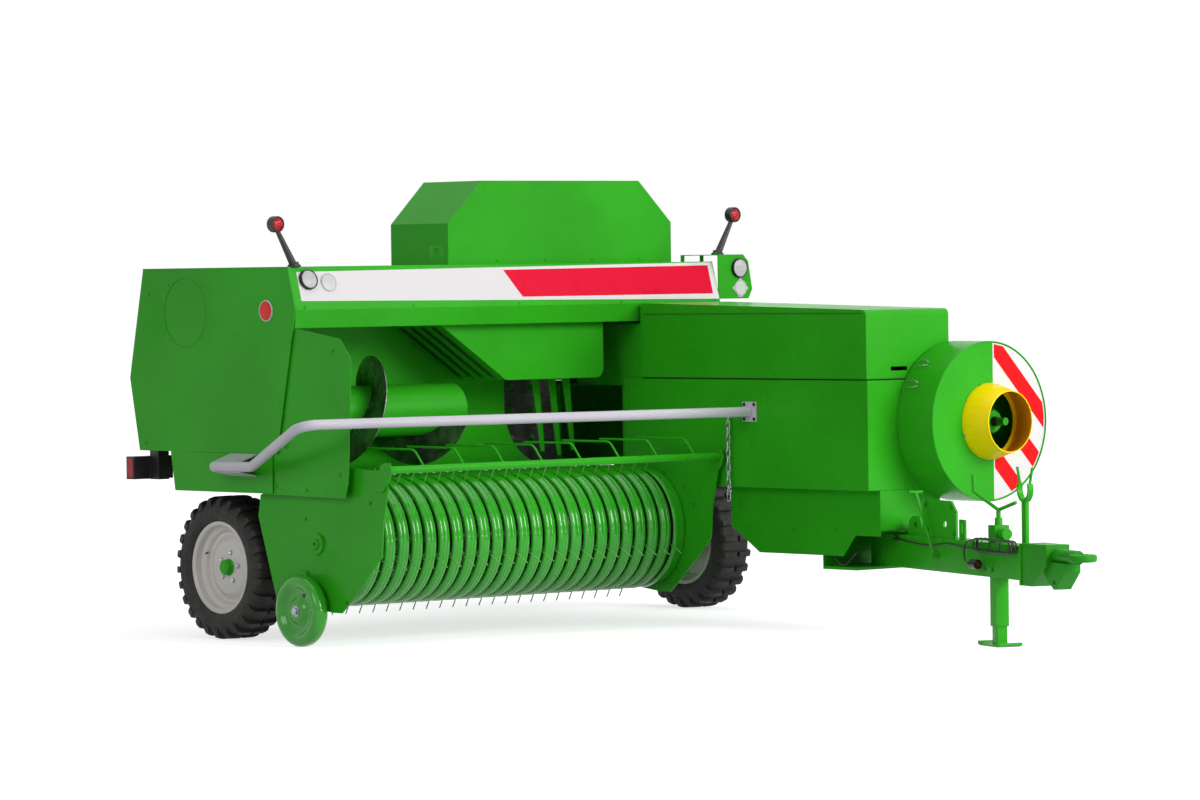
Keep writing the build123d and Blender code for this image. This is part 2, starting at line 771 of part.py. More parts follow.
def drum():
    """The round flywheel guard on the front of the box: an open-backed drum with a hole for the shaft."""
    y1 = box_front_y - seat
    y0 = y1 - drum_depth
    shape = bar_y(drum_radius, y0, y1, drum_x, drum_z)
    shape -= bar_y(drum_radius - drum_wall, y0 + drum_wall, y1 + 1, drum_x, drum_z)
    shape -= bar_y(cone_base_radius - 24, y0 - 1, y0 + drum_wall + 1, drum_x, drum_z)
    return shape


def shaft_cone():
    """The yellow cone round the drive shaft's stub."""
    y1 = box_front_y - seat - drum_depth
    profile = [
        (y1, cone_base_radius), (y1 - 10, cone_base_radius), (y1 - cone_length, cone_mouth_radius),
        (y1 - cone_length, cone_mouth_radius - 4), (y1 - 10, cone_base_radius - 6),
        (y1 - 6, cone_base_radius - 6),
        (y1 - 6, cone_base_radius - 26), (y1, cone_base_radius - 26),
    ]
    section = Plane(origin=(drum_x, 0, drum_z), x_dir=(0, 1, 0), z_dir=(1, 0, 0))
    face = section * Polygon(*profile, align=None)
    return revolve(face, Axis((drum_x, 0, drum_z), (0, 1, 0)))


def drum_back():
    """The drum's back plate with the shaft bearing, and the gear case behind it on the box's left side."""
    y1 = box_front_y - seat
    inner = drum_radius - drum_wall - seat
    shape = bar_y(inner, y1 - 8, y1, drum_x, drum_z)
    shape += bar_y(55, y1 - 26, y1 - 8, drum_x, drum_z)
    shape += block(box_left_x + seat, box_left_x + 150, y1, y1 + 330, drum_z - 110, drum_z + 110)
    return shape - bar_y(shaft_radius + running_clearance, y1 - 30, y1 + 60, drum_x, drum_z)


def flywheel():
    """The flywheel with its stub shaft and bolted hub inside the cone."""
    y1 = box_front_y - seat - 60
    y0 = y1 - flywheel_width
    shape = bar_y(flywheel_radius, y0, y1, drum_x, drum_z)
    shape -= bar_y(flywheel_radius - 60, y0 - 1, y0 + 30, drum_x, drum_z)
    tip = y0 - 130 - shaft_length
    shape += bar_y(shaft_radius, tip, box_front_y + 40, drum_x, drum_z)
    shape += bar_y(70, y0 - 60, y0 + 35, drum_x, drum_z)
    shape += bar_y(48, y0 - 130, y0 - 60, drum_x, drum_z)
    for index in range(4):
        angle = radians(45 + 90 * index)
        shape += bar_y(9, y0 - 80, y0 - 60, drum_x + 58 * cos(angle), drum_z + 58 * sin(angle))
    return shape


pickup_outline = [
    (-312, 660), (-294, 564), (-419, 199), (-823, 153), (-888, 153), (-954, 206), (-1095, 333),
    (-1176, 409), (-1189, 557), (-1226, 709), (-1145, 781), (-968, 790), (-600, 735), (-510, 735),
    (-440, 690),
]


def pickup_frame():
    """The pickup's two side plates, joined by a rear tube, with the reel's bearings and the lift pins."""
    shape = Part()
    hole = reel_shaft_radius + running_clearance
    for x, way in ((pickup_right_x, -1), (pickup_left_x - plate, 1)):
        wall = side_plate(pickup_outline, x, plate)
        face = x if way < 0 else x + plate
        wall += bar_x(46, face, face + way * 12, pickup_y, pickup_z)
        wall -= bar_x(hole, x - 40, x + 40, pickup_y, pickup_z)
        shape += wall
    inner0, inner1 = pickup_right_x + plate, pickup_left_x - plate
    shape += bar_x(30, inner0, inner1, -380, 640)
    shape += bar_x(20, inner0, inner1, -440, 215)
    pin0 = end_plate_x + skin + seat
    shape += bar_x(lift_pin_radius, pin0 + 8, pickup_right_x, lift_y, lift_z)
    shape += bar_x(lift_pin_radius, pickup_left_x, box_right_x - seat - 12, lift_y, lift_z)
    return shape


def lift_brackets():
    """The bearing plates on header and box that hold the pickup's lift pins."""
    hole = lift_pin_radius + running_clearance
    x0 = end_plate_x + skin
    shape = block(x0, x0 + 12, lift_y - 35, lift_y + 35, lift_z - 35, lift_z + 40)
    shape += block(box_right_x - 20, box_right_x - seat, lift_y - 35, lift_y + 35, lift_z - 35, lift_z + 40)
    return shape - bar_x(hole, x0 + 4, box_right_x - 4, lift_y, lift_z)


def pickup_bands():
    """The stripper bands that wrap the reel, a plain end band at the left, all hung from the rear tube."""
    outer, inner = band_radius, band_radius - band_thickness
    shape = Part()
    start = pickup_right_x + plate + seat
    widths = [(start + band_pitch * index, band_width) for index in range(band_count)]
    last = start + band_pitch * band_count
    widths.append((last, pickup_left_x - plate - seat - last))
    for x, width in widths:
        ring = extrude(Plane.YZ * (Circle(outer) - Circle(inner)), width, dir=(1, 0, 0))
        front = block(0, width, -outer - 1, 0, -outer - 1, outer + 1)
        band = Pos(x, pickup_y, pickup_z) * (ring & front)
        band += block(x, x + width, pickup_y, band_rear_y, pickup_z + inner, pickup_z + outer)
        band += block(x, x + width, pickup_y, band_low_y, pickup_z - outer, pickup_z - inner)
        shape += band
    rear0, rear1 = start, pickup_left_x - plate - seat
    shape += block(rear0, rear1, band_rear_y - 32, band_rear_y, pickup_z + outer, pickup_z + outer + plate)
    shape += block(rear0, rear1, band_low_y - 4, band_low_y, pickup_z - outer - 22, pickup_z - inner)
    return shape


def tine_reel():
    """The pickup reel: shaft, spiders, bars and spring tines that pass between the bands."""
    x0, x1 = pickup_right_x - 10, pickup_left_x + 10
    shape = bar_x(reel_shaft_radius, x0, x1, pickup_y, pickup_z)
    inner0, inner1 = pickup_right_x + plate + 8, pickup_left_x - plate - 8
    for x in (inner0 + 14, (inner0 + inner1) / 2, inner1 - 22):
        shape += bar_x(tine_bar_circle, x, x + spider_thickness, pickup_y, pickup_z)
    start = pickup_right_x + plate + seat
    gap_middle = start + band_width + (band_pitch - band_width) / 2
    bar_set = []
    for index in range(tine_bar_count):
        turn = Pos(0, pickup_y, pickup_z) * Rot(360 / tine_bar_count * index + 20, 0, 0)
        bar = bar_x(tine_bar_radius, inner0 + 2, inner1 - 2, 0, tine_bar_circle)
        tines = []
        for place in range(band_count):
            x = gap_middle + band_pitch * place
            tine = block(x - tine_size / 2, x + tine_size / 2, -tine_size / 2, tine_size / 2,
                         tine_bar_circle, tine_reach)
            tines.append(tine)
        bar_set.append(turn * (bar + tines))
    return shape + bar_set


def wind_guard():
    """The round bar over the pickup's front with the bent rods that press the crop down."""
    x0, x1 = pickup_right_x + 2, pickup_left_x - 2
    shape = bar_x(guard_bar_radius, x0, x1, guard_bar_y, guard_bar_z)
    shape += bar_x(guard_bar_radius / 2, x0 - 8, x1 + 8, guard_bar_y, guard_bar_z)
    rods = []
    for index in range(guard_rod_count):
        x = guard_rod_first_x + guard_rod_pitch * index
        knee = (x, guard_bar_y + guard_rod_run, guard_bar_z + guard_rod_rise)
        rods.append(rod((x, guard_bar_y, guard_bar_z), knee, guard_rod_radius))
        rods.append(Pos(*knee) * Sphere(guard_rod_radius))
        rods.append(bar_y(guard_rod_radius, knee[1], knee[1] + guard_rod_leg, x, knee[2]))
    return shape + rods


def guard_brackets():
    """The two clamps on the pickup's side plates that carry the wind guard's bar."""
    shape = Part()
    pin = guard_bar_radius / 2 + running_clearance
    hole = bar_x(pin, pickup_right_x - 20, pickup_left_x + 20, guard_bar_y, guard_bar_z)
    for x in (pickup_right_x - 6 - seat, pickup_left_x + seat):
        outline = [
            (-1195, 690), (-1135, 690), (-1180, 805), (-1205, 817), (-1245, 817), (-1260, 785), (-1245, 745),
        ]
        shape += side_plate(outline, x, plate)
    return shape - hole


def gauge_arm():
    """The gauge wheel's arm and stub axle on the pickup's right side plate."""
    outline = [(-600, 330), (-650, 330), (-705, 160), (-670, 120), (-635, 140)]
    shape = side_plate(outline, pickup_right_x - 12 - seat, 12)
    inner = gauge_x + gauge_width / 2
    shape += bar_x(20, inner + seat, pickup_right_x - 12, gauge_y, gauge_radius)
    shape += bar_x(gauge_axle_radius, gauge_x - gauge_width / 2 + 12, inner + 1, gauge_y, gauge_radius)
    return shape


def gauge_wheel():
    """The pressed steel gauge wheel with rounded shoulders and a dished face."""
    half = gauge_width / 2
    bore = gauge_axle_radius + running_clearance
    profile = [
        (-half + 12, bore), (-half + 8, bore), (-half + 8, 46), (-half + 18, 60), (-half + 16, 100),
        (-half, 118), (-half, 134), (-half + 8, 150), (-half + 22, gauge_radius),
        (half - 22, gauge_radius), (half - 8, 150), (half, 134), (half, bore),
    ]
    shape = turned(profile)
    shape -= bar_x(9, -half - 1, -half + 30, 60, 50)
    return Pos(gauge_x, gauge_y, gauge_radius) * shape


def safety_tube():
    """The bent guard tube round the header, with its flange and end bracket."""
    path = [
        (box_right_x - 6, rail_left_y, rail_z), (rail_right_x, rail_right_y, rail_z),
        (rail_end_x, rail_slope_low_y, rail_low_z), (rail_end_x, rail_end_y, rail_low_z - 4),
    ]
    line = FilletPolyline(*path, radius=75)
    shape = sweep(Plane(origin=line @ 0, z_dir=line % 0) * Circle(rail_radius), path=line)
    flange_x = box_right_x - seat
    shape += block(flange_x - 6, flange_x, rail_left_y - 45, rail_left_y + 45, rail_z - 45, rail_z + 45)
    for top, base in ((838, rail_low_z + 15), (742, rail_low_z - 28)):
        inner_x = skirt_x - seat
        sheet = [(inner_x, top), (rail_end_x, base), (rail_end_x, base + 5), (inner_x, top + 5)]
        shape += front_plate(sheet, rail_end_y - 190, 190)
    web_x = rail_end_x - 2
    shape += block(web_x, web_x + 5, rail_end_y - 190, rail_end_y, rail_low_z - 28, rail_low_z + 20)
    return shape


def along_drawbar(shape):
    """Moves a shape laid out along -Y from the swing pin to the drawbar's swung position."""
    return Pos(swing_x, swing_y, 0) * Rot(0, 0, -swing_angle) * shape


def drawbar():
    """The rectangular drawbar with its swing eye, jack socket and end flange."""
    half = drawbar_width / 2
    z0, z1 = drawbar_bottom_z, drawbar_bottom_z + drawbar_height
    shape = block(-half, half, -drawbar_length, 0, z0, z1) + bar_z(half, z0, z1, 0, 0)
    inner = half - drawbar_wall
    shape -= block(-inner, inner, -drawbar_length - 1, -80, z0 + drawbar_wall, z1 - drawbar_wall)
    shape -= bar_z(swing_pin_radius + running_clearance, z0 - 1, z1 + 1, 0, 0)
    socket = jack_tube_size / 2 + seat
    shape -= block(-socket, socket, -jack_at - socket, -jack_at + socket, z0 - 1, z1 + 1)
    shape += block(-half - 12, half + 12, -drawbar_length - 14, -drawbar_length, z0 - 20, z1 + 12)
    return along_drawbar(shape)


def tow_head():
    """The bolted head with its cast shank and the tow eye."""
    half = head_width / 2
    z0, z1 = drawbar_bottom_z - 20, drawbar_bottom_z + drawbar_height
    y0 = -drawbar_length - 14 - seat
    outline = [
        (y0, z0), (y0, z1 + 12), (y0 - head_length, z1 + 14), (y0 - head_length, eye_z - shank_radius - 10),
        (y0 - 90, z0),
    ]
    shape = side_plate(outline, -half, head_width)
    shape += bar_y(shank_radius, -eye_at + eye_outer_radius - 20, y0 - head_length, 0, eye_z)
    hanger = [
        (y0 - 150, 345), (y0 - 255, 273), (y0 - 280, 273), (y0 - 370, 350), (y0 - 370, eye_z - 26),
        (y0 - 225, eye_z - 26),
    ]
    shape += side_plate(hanger, -35, 70) - bar_x(9, -60, 60, y0 - 262, 302)
    ring = bar_z(eye_outer_radius, eye_z - eye_height / 2, eye_z + eye_height / 2, 0, -eye_at)
    ring = fillet(ring.edges().filter_by(GeomType.CIRCLE), 10)
    return along_drawbar(shape + ring - bar_z(eye_bore_radius, eye_z - 60, eye_z + 60, 0, -eye_at))


def jack_tube():
    """The jack's outer square tube through the drawbar, with its head, screw and crank."""
    half = jack_tube_size / 2
    y = -jack_at
    shape = block(-half, half, y - half, y + half, jack_bottom_z, jack_top_z - 90)
    inner = half - jack_wall
    shape -= block(-inner, inner, y - inner, y + inner, jack_bottom_z - 1, jack_top_z - 96)
    shape += block(-half - 4, half + 4, y - half - 4, y + half + 4, jack_top_z - 92, jack_top_z - 20)
    shape += bar_y(24, y - half - 54, y - half, 0, jack_top_z - 56)
    shape += bar_z(17, jack_top_z - 20, jack_top_z + 12, 0, y)
    shape += bar_z(10, jack_top_z + 12, jack_top_z + 45, 0, y)
    z = jack_top_z + 45
    shape += rod((0, y, z), (-60, y + 120, z + 78), 8)
    shape += rod((-60, y + 120, z + 78), (-60, y + 120, z + 150), 8)
    shape += rod((0, y, z), (40, y - 90, z + 34), 8)
    return along_drawbar(shape)


def jack_leg():
    """The jack's inner leg and its foot plate with turned-up ends."""
    half = jack_tube_size / 2 - jack_wall - jack_leg_clear
    y = -jack_at
    shape = block(-half, half, y - half, y + half, foot_thickness, jack_top_z - 96 - jack_lift)
    side, end = foot_width / 2, foot_length / 2
    shape += block(-side, side, y - end, y + end, 0, foot_thickness)
    for way in (-1, 1):
        end = y + way * foot_length / 2
        lip = [(end, 0), (end, foot_thickness), (end + way * 22, foot_thickness + 12), (end + way * 24, 6)]
        shape += side_plate(lip, -foot_width / 2, foot_width)
    return along_drawbar(shape)


def knotter():
    """The knotter stack on the chamber: two stands, the shaft, two knotter heads and the drive disc."""
    z0 = chamber_top_z + plate
    y0, y1 = knotter_y - 80, knotter_y + 80
    shape = Part()
    for x in (chamber_right_x + 10, chamber_left_x - 10 - plate):
        shape += side_plate([(y0, z0), (y1, z0), (y1 - 40, z0 + 230), (y0 + 40, z0 + 230)], x, plate)
    shape += bar_x(16, chamber_right_x - 60, chamber_left_x + 20, knotter_y, z0 + 160)
    for x in (chamber_mid_x - knotter_spread / 2, chamber_mid_x + knotter_spread / 2):
        shape += bar_x(92, x - 14, x + 14, knotter_y, z0 + 160)
        shape += block(x - 60, x + 60, knotter_y - 30, knotter_y + 60, z0, z0 + 80)
    shape += bar_x(130, chamber_right_x - 60, chamber_right_x - 46, knotter_y, z0 + 160)
    return shape


def needle_yoke():
    """The yoke under the chamber with its two curved needles."""
    y, z = knotter_y - 360, chamber_floor_z + 20
    reach = 360.0
    start, end = radians(-75), radians(-14)
    tube_y, tube_z = y + reach * cos(start), z + reach * sin(start)
    shape = bar_x(22, chamber_right_x - 36, chamber_left_x + 36, tube_y, tube_z)
    ring = Plane.YZ * (Circle(reach + 14) - Circle(reach - 14))
    far = [(900 * cos(angle), 900 * sin(angle)) for angle in (start, end)]
    sector = Plane.YZ * Polygon((0, 0), *far, align=None)
    for way in (-1, 1):
        needle = extrude(ring & sector, 16, dir=(1, 0, 0))
        shape += Pos(chamber_mid_x + way * knotter_spread / 2 - 8, y, z) * needle
    for x in (chamber_right_x - seat - 12, chamber_left_x + seat):
        tip = (y + reach * cos(start), z + reach * sin(start))
        arm = [(y - 30, z + 30), (y + 30, z + 30), (tip[0] + 30, tip[1] - 24), (tip[0] - 30, tip[1] - 24)]
        shape += side_plate(arm, x, 12)
    return shape


def bale_chute():
    """The folding chute of flat bars behind the chamber."""
    y0, z = chute_y, chute_z
    pin = 10 + running_clearance
    shape = bar_x(22, chamber_right_x + 40, chamber_left_x - 40, y0, z) - bar_x(pin, 0, 4000, y0, z)
    for x in (chamber_right_x + 50, chamber_mid_x - 25, chamber_left_x - 100):
        shape += block(x, x + 50, y0 + 12, y0 + chute_length, z - 8, z + 8)
    for y in (y0 + chute_length / 2, y0 + chute_length - 50):
        shape += block(chamber_right_x + 50, chamber_left_x - 50, y, y + 50, z - 14, z - 8)
    return shape


def chute_hinge():
    """The two ears and the pin that carry the chute."""
    y1 = chute_y + 24
    shape = bar_x(10, chamber_right_x + 2, chamber_left_x - 2, chute_y, chute_z)
    for x in (chamber_right_x, chamber_left_x - 12):
        shape += block(x, x + 12, chamber_rear_y - 60, y1, chute_z - 24, chamber_floor_z - plate)
    return shape


def marker_lamps():
    """The two clearance lamps on leaning rubber stalks."""
    shape = Part()
    for x, way, z in ((12, -1, deck_z), (beam_left_x + 39, 1, lamp_plate_top_z)):
        y = nose_y + 60
        head = (x + way * 100, y, z + 175)
        shape += Pos(x, y, z + seat) * Cone(40, 26, 20, align=(Align.CENTER, Align.CENTER, Align.MIN))
        shape += rod((x, y, z + 12), head, 17)
        shape += bar_y(36, y - 26, y + 26, head[0], head[2] + 12)
    return shape


def front_lamps():
    """The round lamps and reflectors on the beam's ends, the lamp plate and the right side panel."""
    lean = degrees(atan2(deck_front_y - nose_y, deck_z - nose_z))
    shape = Part()
    for x, z, radius, depth in ((45, 1612, 46, 20), (150, 1590, 42, 8)):
        y = nose_y + (z - nose_z) * tan(radians(lean))
        lamp = extrude(Plane.XY * Circle(radius), depth)
        shape += Pos(x, y, z) * Rot(90 - lean, 0, 0) * lamp
    for x, z, radius, depth in ((beam_left_x + 129, 1640, 46, 18), (beam_left_x + 137, 1546, 38, 8)):
        shape += bar_y(radius, nose_y + 12 - seat - depth, nose_y + 12 - seat, x, z)
    return shape + bar_x(48, body_right_x - 8 - seat, body_right_x - seat, -442, 1478)


def rear_lamps():
    """The two rear lamp clusters on their bracket plates."""
    shape = Part()
    top = body_bottom_z - seat
    y0, y1 = body_bottom_rear_y - 60, body_bottom_rear_y + 6
    shape += block(30, 90, y0, y1, top - 134, top)
    shape += block(-60, 160, y1, y1 + 60, top - 132, top - 28)
    x = chamber_left_x + seat
    shape += block(x, x + 60, y1 - plate, y1, top - 134, top)
    shape += block(x + 20, x + 240, y1, y1 + 60, top - 132, top - 28)
    return shape


def pickup_chain():
    """The chain of round-wire links that limits the pickup, hung from the box's side."""
    shape = Part()
    pitch = 2 * chain_inner
    ring = Torus(chain_link_radius, chain_wire)
    for index in range(chain_links):
        z = rail_z - 60 - index * pitch
        link = Rot(0, 90, 0) * ring
        if index % 2:
            link = Rot(0, 0, 90) * link
        shape += Pos(box_right_x - 25, chain_y, z) * link
    shape += bar_x(5, box_right_x - 29, box_right_x - seat, chain_y, rail_z - 60 + chain_inner - 5.3)
    return shape


def cover_hinges():
    """Two butt hinges on the box's left side: the fixed leaves and knuckles with their pins."""
    x, z = box_left_x + hinge_radius, seam_z - seam_gap / 2
    shape = Part()
    for y in hinge_places:
        shape += block(box_left_x + seat, box_left_x + seat + skin, y, y + hinge_length, z - 40, z - 9)
        for y0 in (y, y + hinge_length * 2 / 3):
            shape += bar_y(hinge_radius - seat, y0, y0 + hinge_length / 3 - seat, x, z)
        shape += bar_y(hinge_pin_radius, y, y + hinge_length - seat, x, z)
    return shape


def lock_lever():
    """The spring lever on the drawbar's right face that locks its swing."""
    face = -drawbar_width / 2
    x = face - 24
    foot_y, top_y = -700 * fitting_share, -560 * fitting_share
    low, high = drawbar_bottom_z + 74, drawbar_bottom_z + 345
    shape = rod((x, foot_y, low), (x - 18, top_y, high), 7)
    shape += bar_x(14, x - 12, face - seat, foot_y, low)
    return shape + rod((x - 50, top_y, high), (x + 14, top_y, high), 7)


def shaft_hook():
    """The upright post with the forked hook that holds the drive shaft when it is unhitched."""
    y = 60 - drawbar_length
    z0 = drawbar_bottom_z + drawbar_height + seat
    shape = block(-8, 8, y - 20, y + 20, z0, z0 + 190)
    ring = Pos(0, y, z0 + 190 + 50) * extrude(Plane.YZ * (Circle(58) - Circle(46)), 12, both=True)
    shape += ring - block(-30, 30, y - 80, y + 80, z0 + 262, z0 + 340)
    for way in (-1, 1):
        shape += rod((0, y + way * 46, z0 + 258), (0, y + way * 72, z0 + 330), 6)
    return shape


def drawbar_fittings():
    """On the drawbar: cast lug, lock plate, lever, slotted stay, shaft hook and the cable's clip."""
    z0 = drawbar_bottom_z + drawbar_height + seat
    def upright(points, x, thickness):
        return side_plate([(y * fitting_share, z0 + z) for y, z in points], x, thickness)
    lug = upright([(-330, 0), (-345, 62), (-385, 84), (-455, 84), (-500, 0)], -26, 52)
    lug -= bar_x(14, -60, 60, -412 * fitting_share, z0 + 46)
    lock = upright([(-505, 0), (-505, 120), (-545, 165), (-800, 165), (-850, 120), (-850, 0)], -36, 10)
    lock -= bar_x(17, -60, 60, -735 * fitting_share, z0 + 62)
    stay = upright([(-880, 0), (-880, 88), (-940, 88), (-940, 0)], -36, 8)
    stay_y = -910 * fitting_share
    stay -= block(-60, 0, stay_y - 7, stay_y + 7, z0 + 30, z0 + 76)
    x = -drawbar_width / 2 - seat
    clip_y = cable_start_y * fitting_share
    clip = block(x - 16, x, clip_y, clip_y + 24, cable_z - 12, cable_z + 12)
    return along_drawbar(lug + lock + stay + clip + lock_lever() + shaft_hook())


def cable_tube(points):
    """A cable along straight runs joined by tangent arcs as large as the runs allow."""
    points = [(x, y * fitting_share, z) for x, y, z in points]
    corners = [Vector(*point) for point in points]
    radii = []
    for before, point, after in zip(corners, corners[1:], corners[2:]):
        run = min((point - before).length, (after - point).length)
        turn = radians((point - before).get_angle(after - point))
        radii.append(0.45 * run / tan(turn / 2))
    print("cable arcs", [round(radius) for radius in radii])
    line = FilletPolyline(*points, radius=radii)
    tube = sweep(Plane(origin=line @ 0, z_dir=line % 0) * Circle(cable_radius), path=line)
    print("cable length", line.length, "volume share", tube.volume / (pi * cable_radius ** 2 * line.length))
    return along_drawbar(tube)


def cable_run():
    """The lamp cable from its clip forward to the hank."""
    return cable_tube(cable_run_points)


def cable_hank():
    """The bound hank of spare cable on the drawbar's right face."""
    x = -drawbar_width / 2 - seat
    y0, y1 = hank_front_y * fitting_share, hank_rear_y * fitting_share
    hank = block(x - hank_depth, x, y0, y1, hank_z - hank_height / 2, hank_z + hank_height / 2)
    hank = fillet(hank.edges().filter_by(Axis.Y), 16)
    return along_drawbar(hank)


def cable_tail():
    """The short end of the cable that turns back from the hank into the plug."""
    return cable_tube(cable_tail_points)


def cable_plug():
    """The seven-pin plug at the cable's end, its open face forward."""
    x, y, z = cable_tail_points[-1]
    y = y * fitting_share
    shape = bar_y(21, y - 62, y - 14, x, z) - bar_y(17, y - 63, y - 34, x, z)
    shape += bar_y(11, y - 14, y, x, z)
    return along_drawbar(shape)


nodes = {}
nodes["tyre_right"], nodes["rim_right"] = wheel_tyre(right_wheel_x), wheel_rim(right_wheel_x, -1)
nodes["tyre_left"], nodes["rim_left"] = wheel_tyre(left_wheel_x), wheel_rim(left_wheel_x, 1)
for make in (
    axle, chamber, density_rails, plunger, gearbox, main_frame, swing_mount, side_panel_right, rear_panel,
    deck, nose_beam, lamp_plate, side_panel_left, hood, side_skirt, end_plate, feeder_housing, header_trough,
    feed_plate, feeder_fingers, auger, box_panels, box_skirt, box_cover, drum, drum_back, shaft_cone,
    flywheel, pickup_frame, lift_brackets, pickup_bands, tine_reel, wind_guard, guard_brackets,
    gauge_arm, gauge_wheel, safety_tube,
    drawbar, tow_head, jack_tube, jack_leg, knotter, needle_yoke, bale_chute, chute_hinge,
    marker_lamps, front_lamps, rear_lamps, pickup_chain, cover_hinges, drawbar_fittings,
    cable_run, cable_hank, cable_tail, cable_plug,
):
    nodes[make.__name__] = make()

boxes = [shape.bounding_box() for shape in nodes.values()]
low = [min(box.min.X for box in boxes), min(box.min.Y for box in boxes)]
high = [max(box.max.X for box in boxes), max(box.max.Y for box in boxes)]
middle = Pos(-(low[0] + high[0]) / 2, -(low[1] + high[1]) / 2, 0)
print("origin moved by", middle.position, "size", high[0] - low[0], high[1] - low[1])
os.makedirs("parts", exist_ok=True)
for name, shape in nodes.items():
    export_step(middle * shape, f"parts/{name}.step")
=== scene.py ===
# %% [markdown]
# # A square baler, dressed for its picture
# The machine lifts a row of cut grass with its spring tines, presses it in a long box and ties it into small
# bales. The CAD model already holds every part in its place, in metres. This lesson keeps that frame and gives
# each part the rounded edges, enamel, wire, rubber and bolts that the real machine shows.

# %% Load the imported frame
import bmesh
import bpy
import json
from math import atan, cos, pi, radians, sin, tan
from mathutils import Matrix, Vector

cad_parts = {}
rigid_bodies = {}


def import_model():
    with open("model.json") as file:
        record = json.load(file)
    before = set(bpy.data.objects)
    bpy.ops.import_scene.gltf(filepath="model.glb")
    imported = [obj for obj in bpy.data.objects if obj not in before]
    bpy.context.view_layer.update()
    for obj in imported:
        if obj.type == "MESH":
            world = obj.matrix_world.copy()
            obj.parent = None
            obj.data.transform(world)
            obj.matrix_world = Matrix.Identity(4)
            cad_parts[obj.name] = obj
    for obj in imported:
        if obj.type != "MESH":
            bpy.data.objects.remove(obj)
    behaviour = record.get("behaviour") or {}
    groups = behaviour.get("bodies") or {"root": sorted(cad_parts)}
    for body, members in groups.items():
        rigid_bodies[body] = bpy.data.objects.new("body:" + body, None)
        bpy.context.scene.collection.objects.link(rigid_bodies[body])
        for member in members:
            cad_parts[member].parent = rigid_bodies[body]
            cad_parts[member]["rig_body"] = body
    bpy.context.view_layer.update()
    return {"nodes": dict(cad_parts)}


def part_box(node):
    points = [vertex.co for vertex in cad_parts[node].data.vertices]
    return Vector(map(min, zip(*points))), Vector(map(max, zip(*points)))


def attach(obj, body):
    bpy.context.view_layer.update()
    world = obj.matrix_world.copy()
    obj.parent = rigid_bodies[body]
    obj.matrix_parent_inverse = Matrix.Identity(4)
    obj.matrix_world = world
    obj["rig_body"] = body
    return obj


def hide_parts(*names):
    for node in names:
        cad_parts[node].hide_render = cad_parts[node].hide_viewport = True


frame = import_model()
nodes = frame["nodes"]

# %% [markdown]
# The CAD source is laid out in millimetres from the ground under the right wheel and then moved to the middle of
# the machine. The corner of the right side panel tells how far it moved, so places can be written in the same
# millimetres as the source. The drawbar is swung 19 degrees about its pin, and has its own helper.

# %% Places in the machine's own millimetres
panel_corner = Vector((-0.030, -0.653, 0.845))
origin_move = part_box("side_panel_right")[0] - panel_corner
swing = radians(19)
pin_x, pin_y = 2313, -1908
left, ahead, above = Vector((1, 0, 0)), Vector((0, -1, 0)), Vector((0, 0, 1))
bar_left = Vector((cos(swing), -sin(swing), 0))
bar_ahead = Vector((-sin(swing), -cos(swing), 0))


def at(x, y, z):
    """A place in the machine's millimetres, in metres of the frame."""
    return Vector((x, y, z)) * 0.001 + origin_move


def on_drawbar(side, back, up):
    """A place on the swung drawbar: millimetres to its left, behind its pin (negative is ahead) and up."""
    x = pin_x + side * cos(swing) + back * sin(swing)
    y = pin_y - side * sin(swing) + back * cos(swing)
    return at(x, y, up)


def around(count, start=0.0, closed=False):
    """Evenly spaced angles round a circle, with the first one again if closed."""
    return [start + 2 * pi * i / count for i in range(count + closed)]


def in_scene(name, data):
    """A new object with its data, in the scene."""
    thing = bpy.data.objects.new(name, data)
    bpy.context.scene.collection.objects.link(thing)
    return thing


print("origin moved by", [round(v, 5) for v in origin_move])

# %% [markdown]
# A long lens from far away keeps the machine's parallel edges almost parallel, as in the product picture. The
# direction was found from the edges that run along, across and up, and the roll from the uprights.

# %% Camera
camera_place = Vector((-14.495, -19.513, 1.639)) + origin_move
camera_turn, camera_tilt, camera_roll = radians(-40.7), atan(130 / 5400), radians(0.77)


def add_camera():
    """The camera at the photograph's place, looking along its line."""
    data = bpy.data.cameras.new("camera")
    data.lens = 162
    data.sensor_width = 36
    data.clip_end = 200
    level = cos(camera_tilt)
    back = Vector((sin(camera_turn) * level, -cos(camera_turn) * level, sin(camera_tilt)))
    right = above.cross(back).normalized()
    turn = Matrix((right, back.cross(right), back)).transposed().to_4x4()
    camera = in_scene("camera", data)
    camera.matrix_world = Matrix.Translation(camera_place) @ turn @ Matrix.Rotation(-camera_roll, 4, "Z")
    bpy.context.scene.camera = camera
    return camera


print("camera", add_camera().matrix_world.translation)

# %% [markdown]
# The lamp cable is one length of rubber lead: it leaves a clip, hangs along the drawbar, is folded into a hank of
# three and a half turns and turns back into its plug. One smooth NURBS line follows the CAD route, and the hank's
# turns are more points of the same line, each turn a cable's width further out.

# %% Route of the lamp cable
cable_width = 0.008
cable_route = [
    (-58, -270, 424), (-58, -330, 424), (-60, -390, 419), (-57, -452, 414), (-58, -512, 411), (-56, -570, 409),
    (-55, -628, 411), (-56, -690, 416), (-56, -750, 424), (-59, -812, 426), (-59, -872, 424), (-59, -932, 420),
    (-59, -992, 417), (-57, -1048, 415), (-55.6, -1100, 412),
]
cable_end_route = [
    (-84, -1100, 452), (-84, -1060, 448), (-86, -1031, 420), (-86, -1031, 380), (-88, -1060, 352),
    (-88, -1100, 352),
]


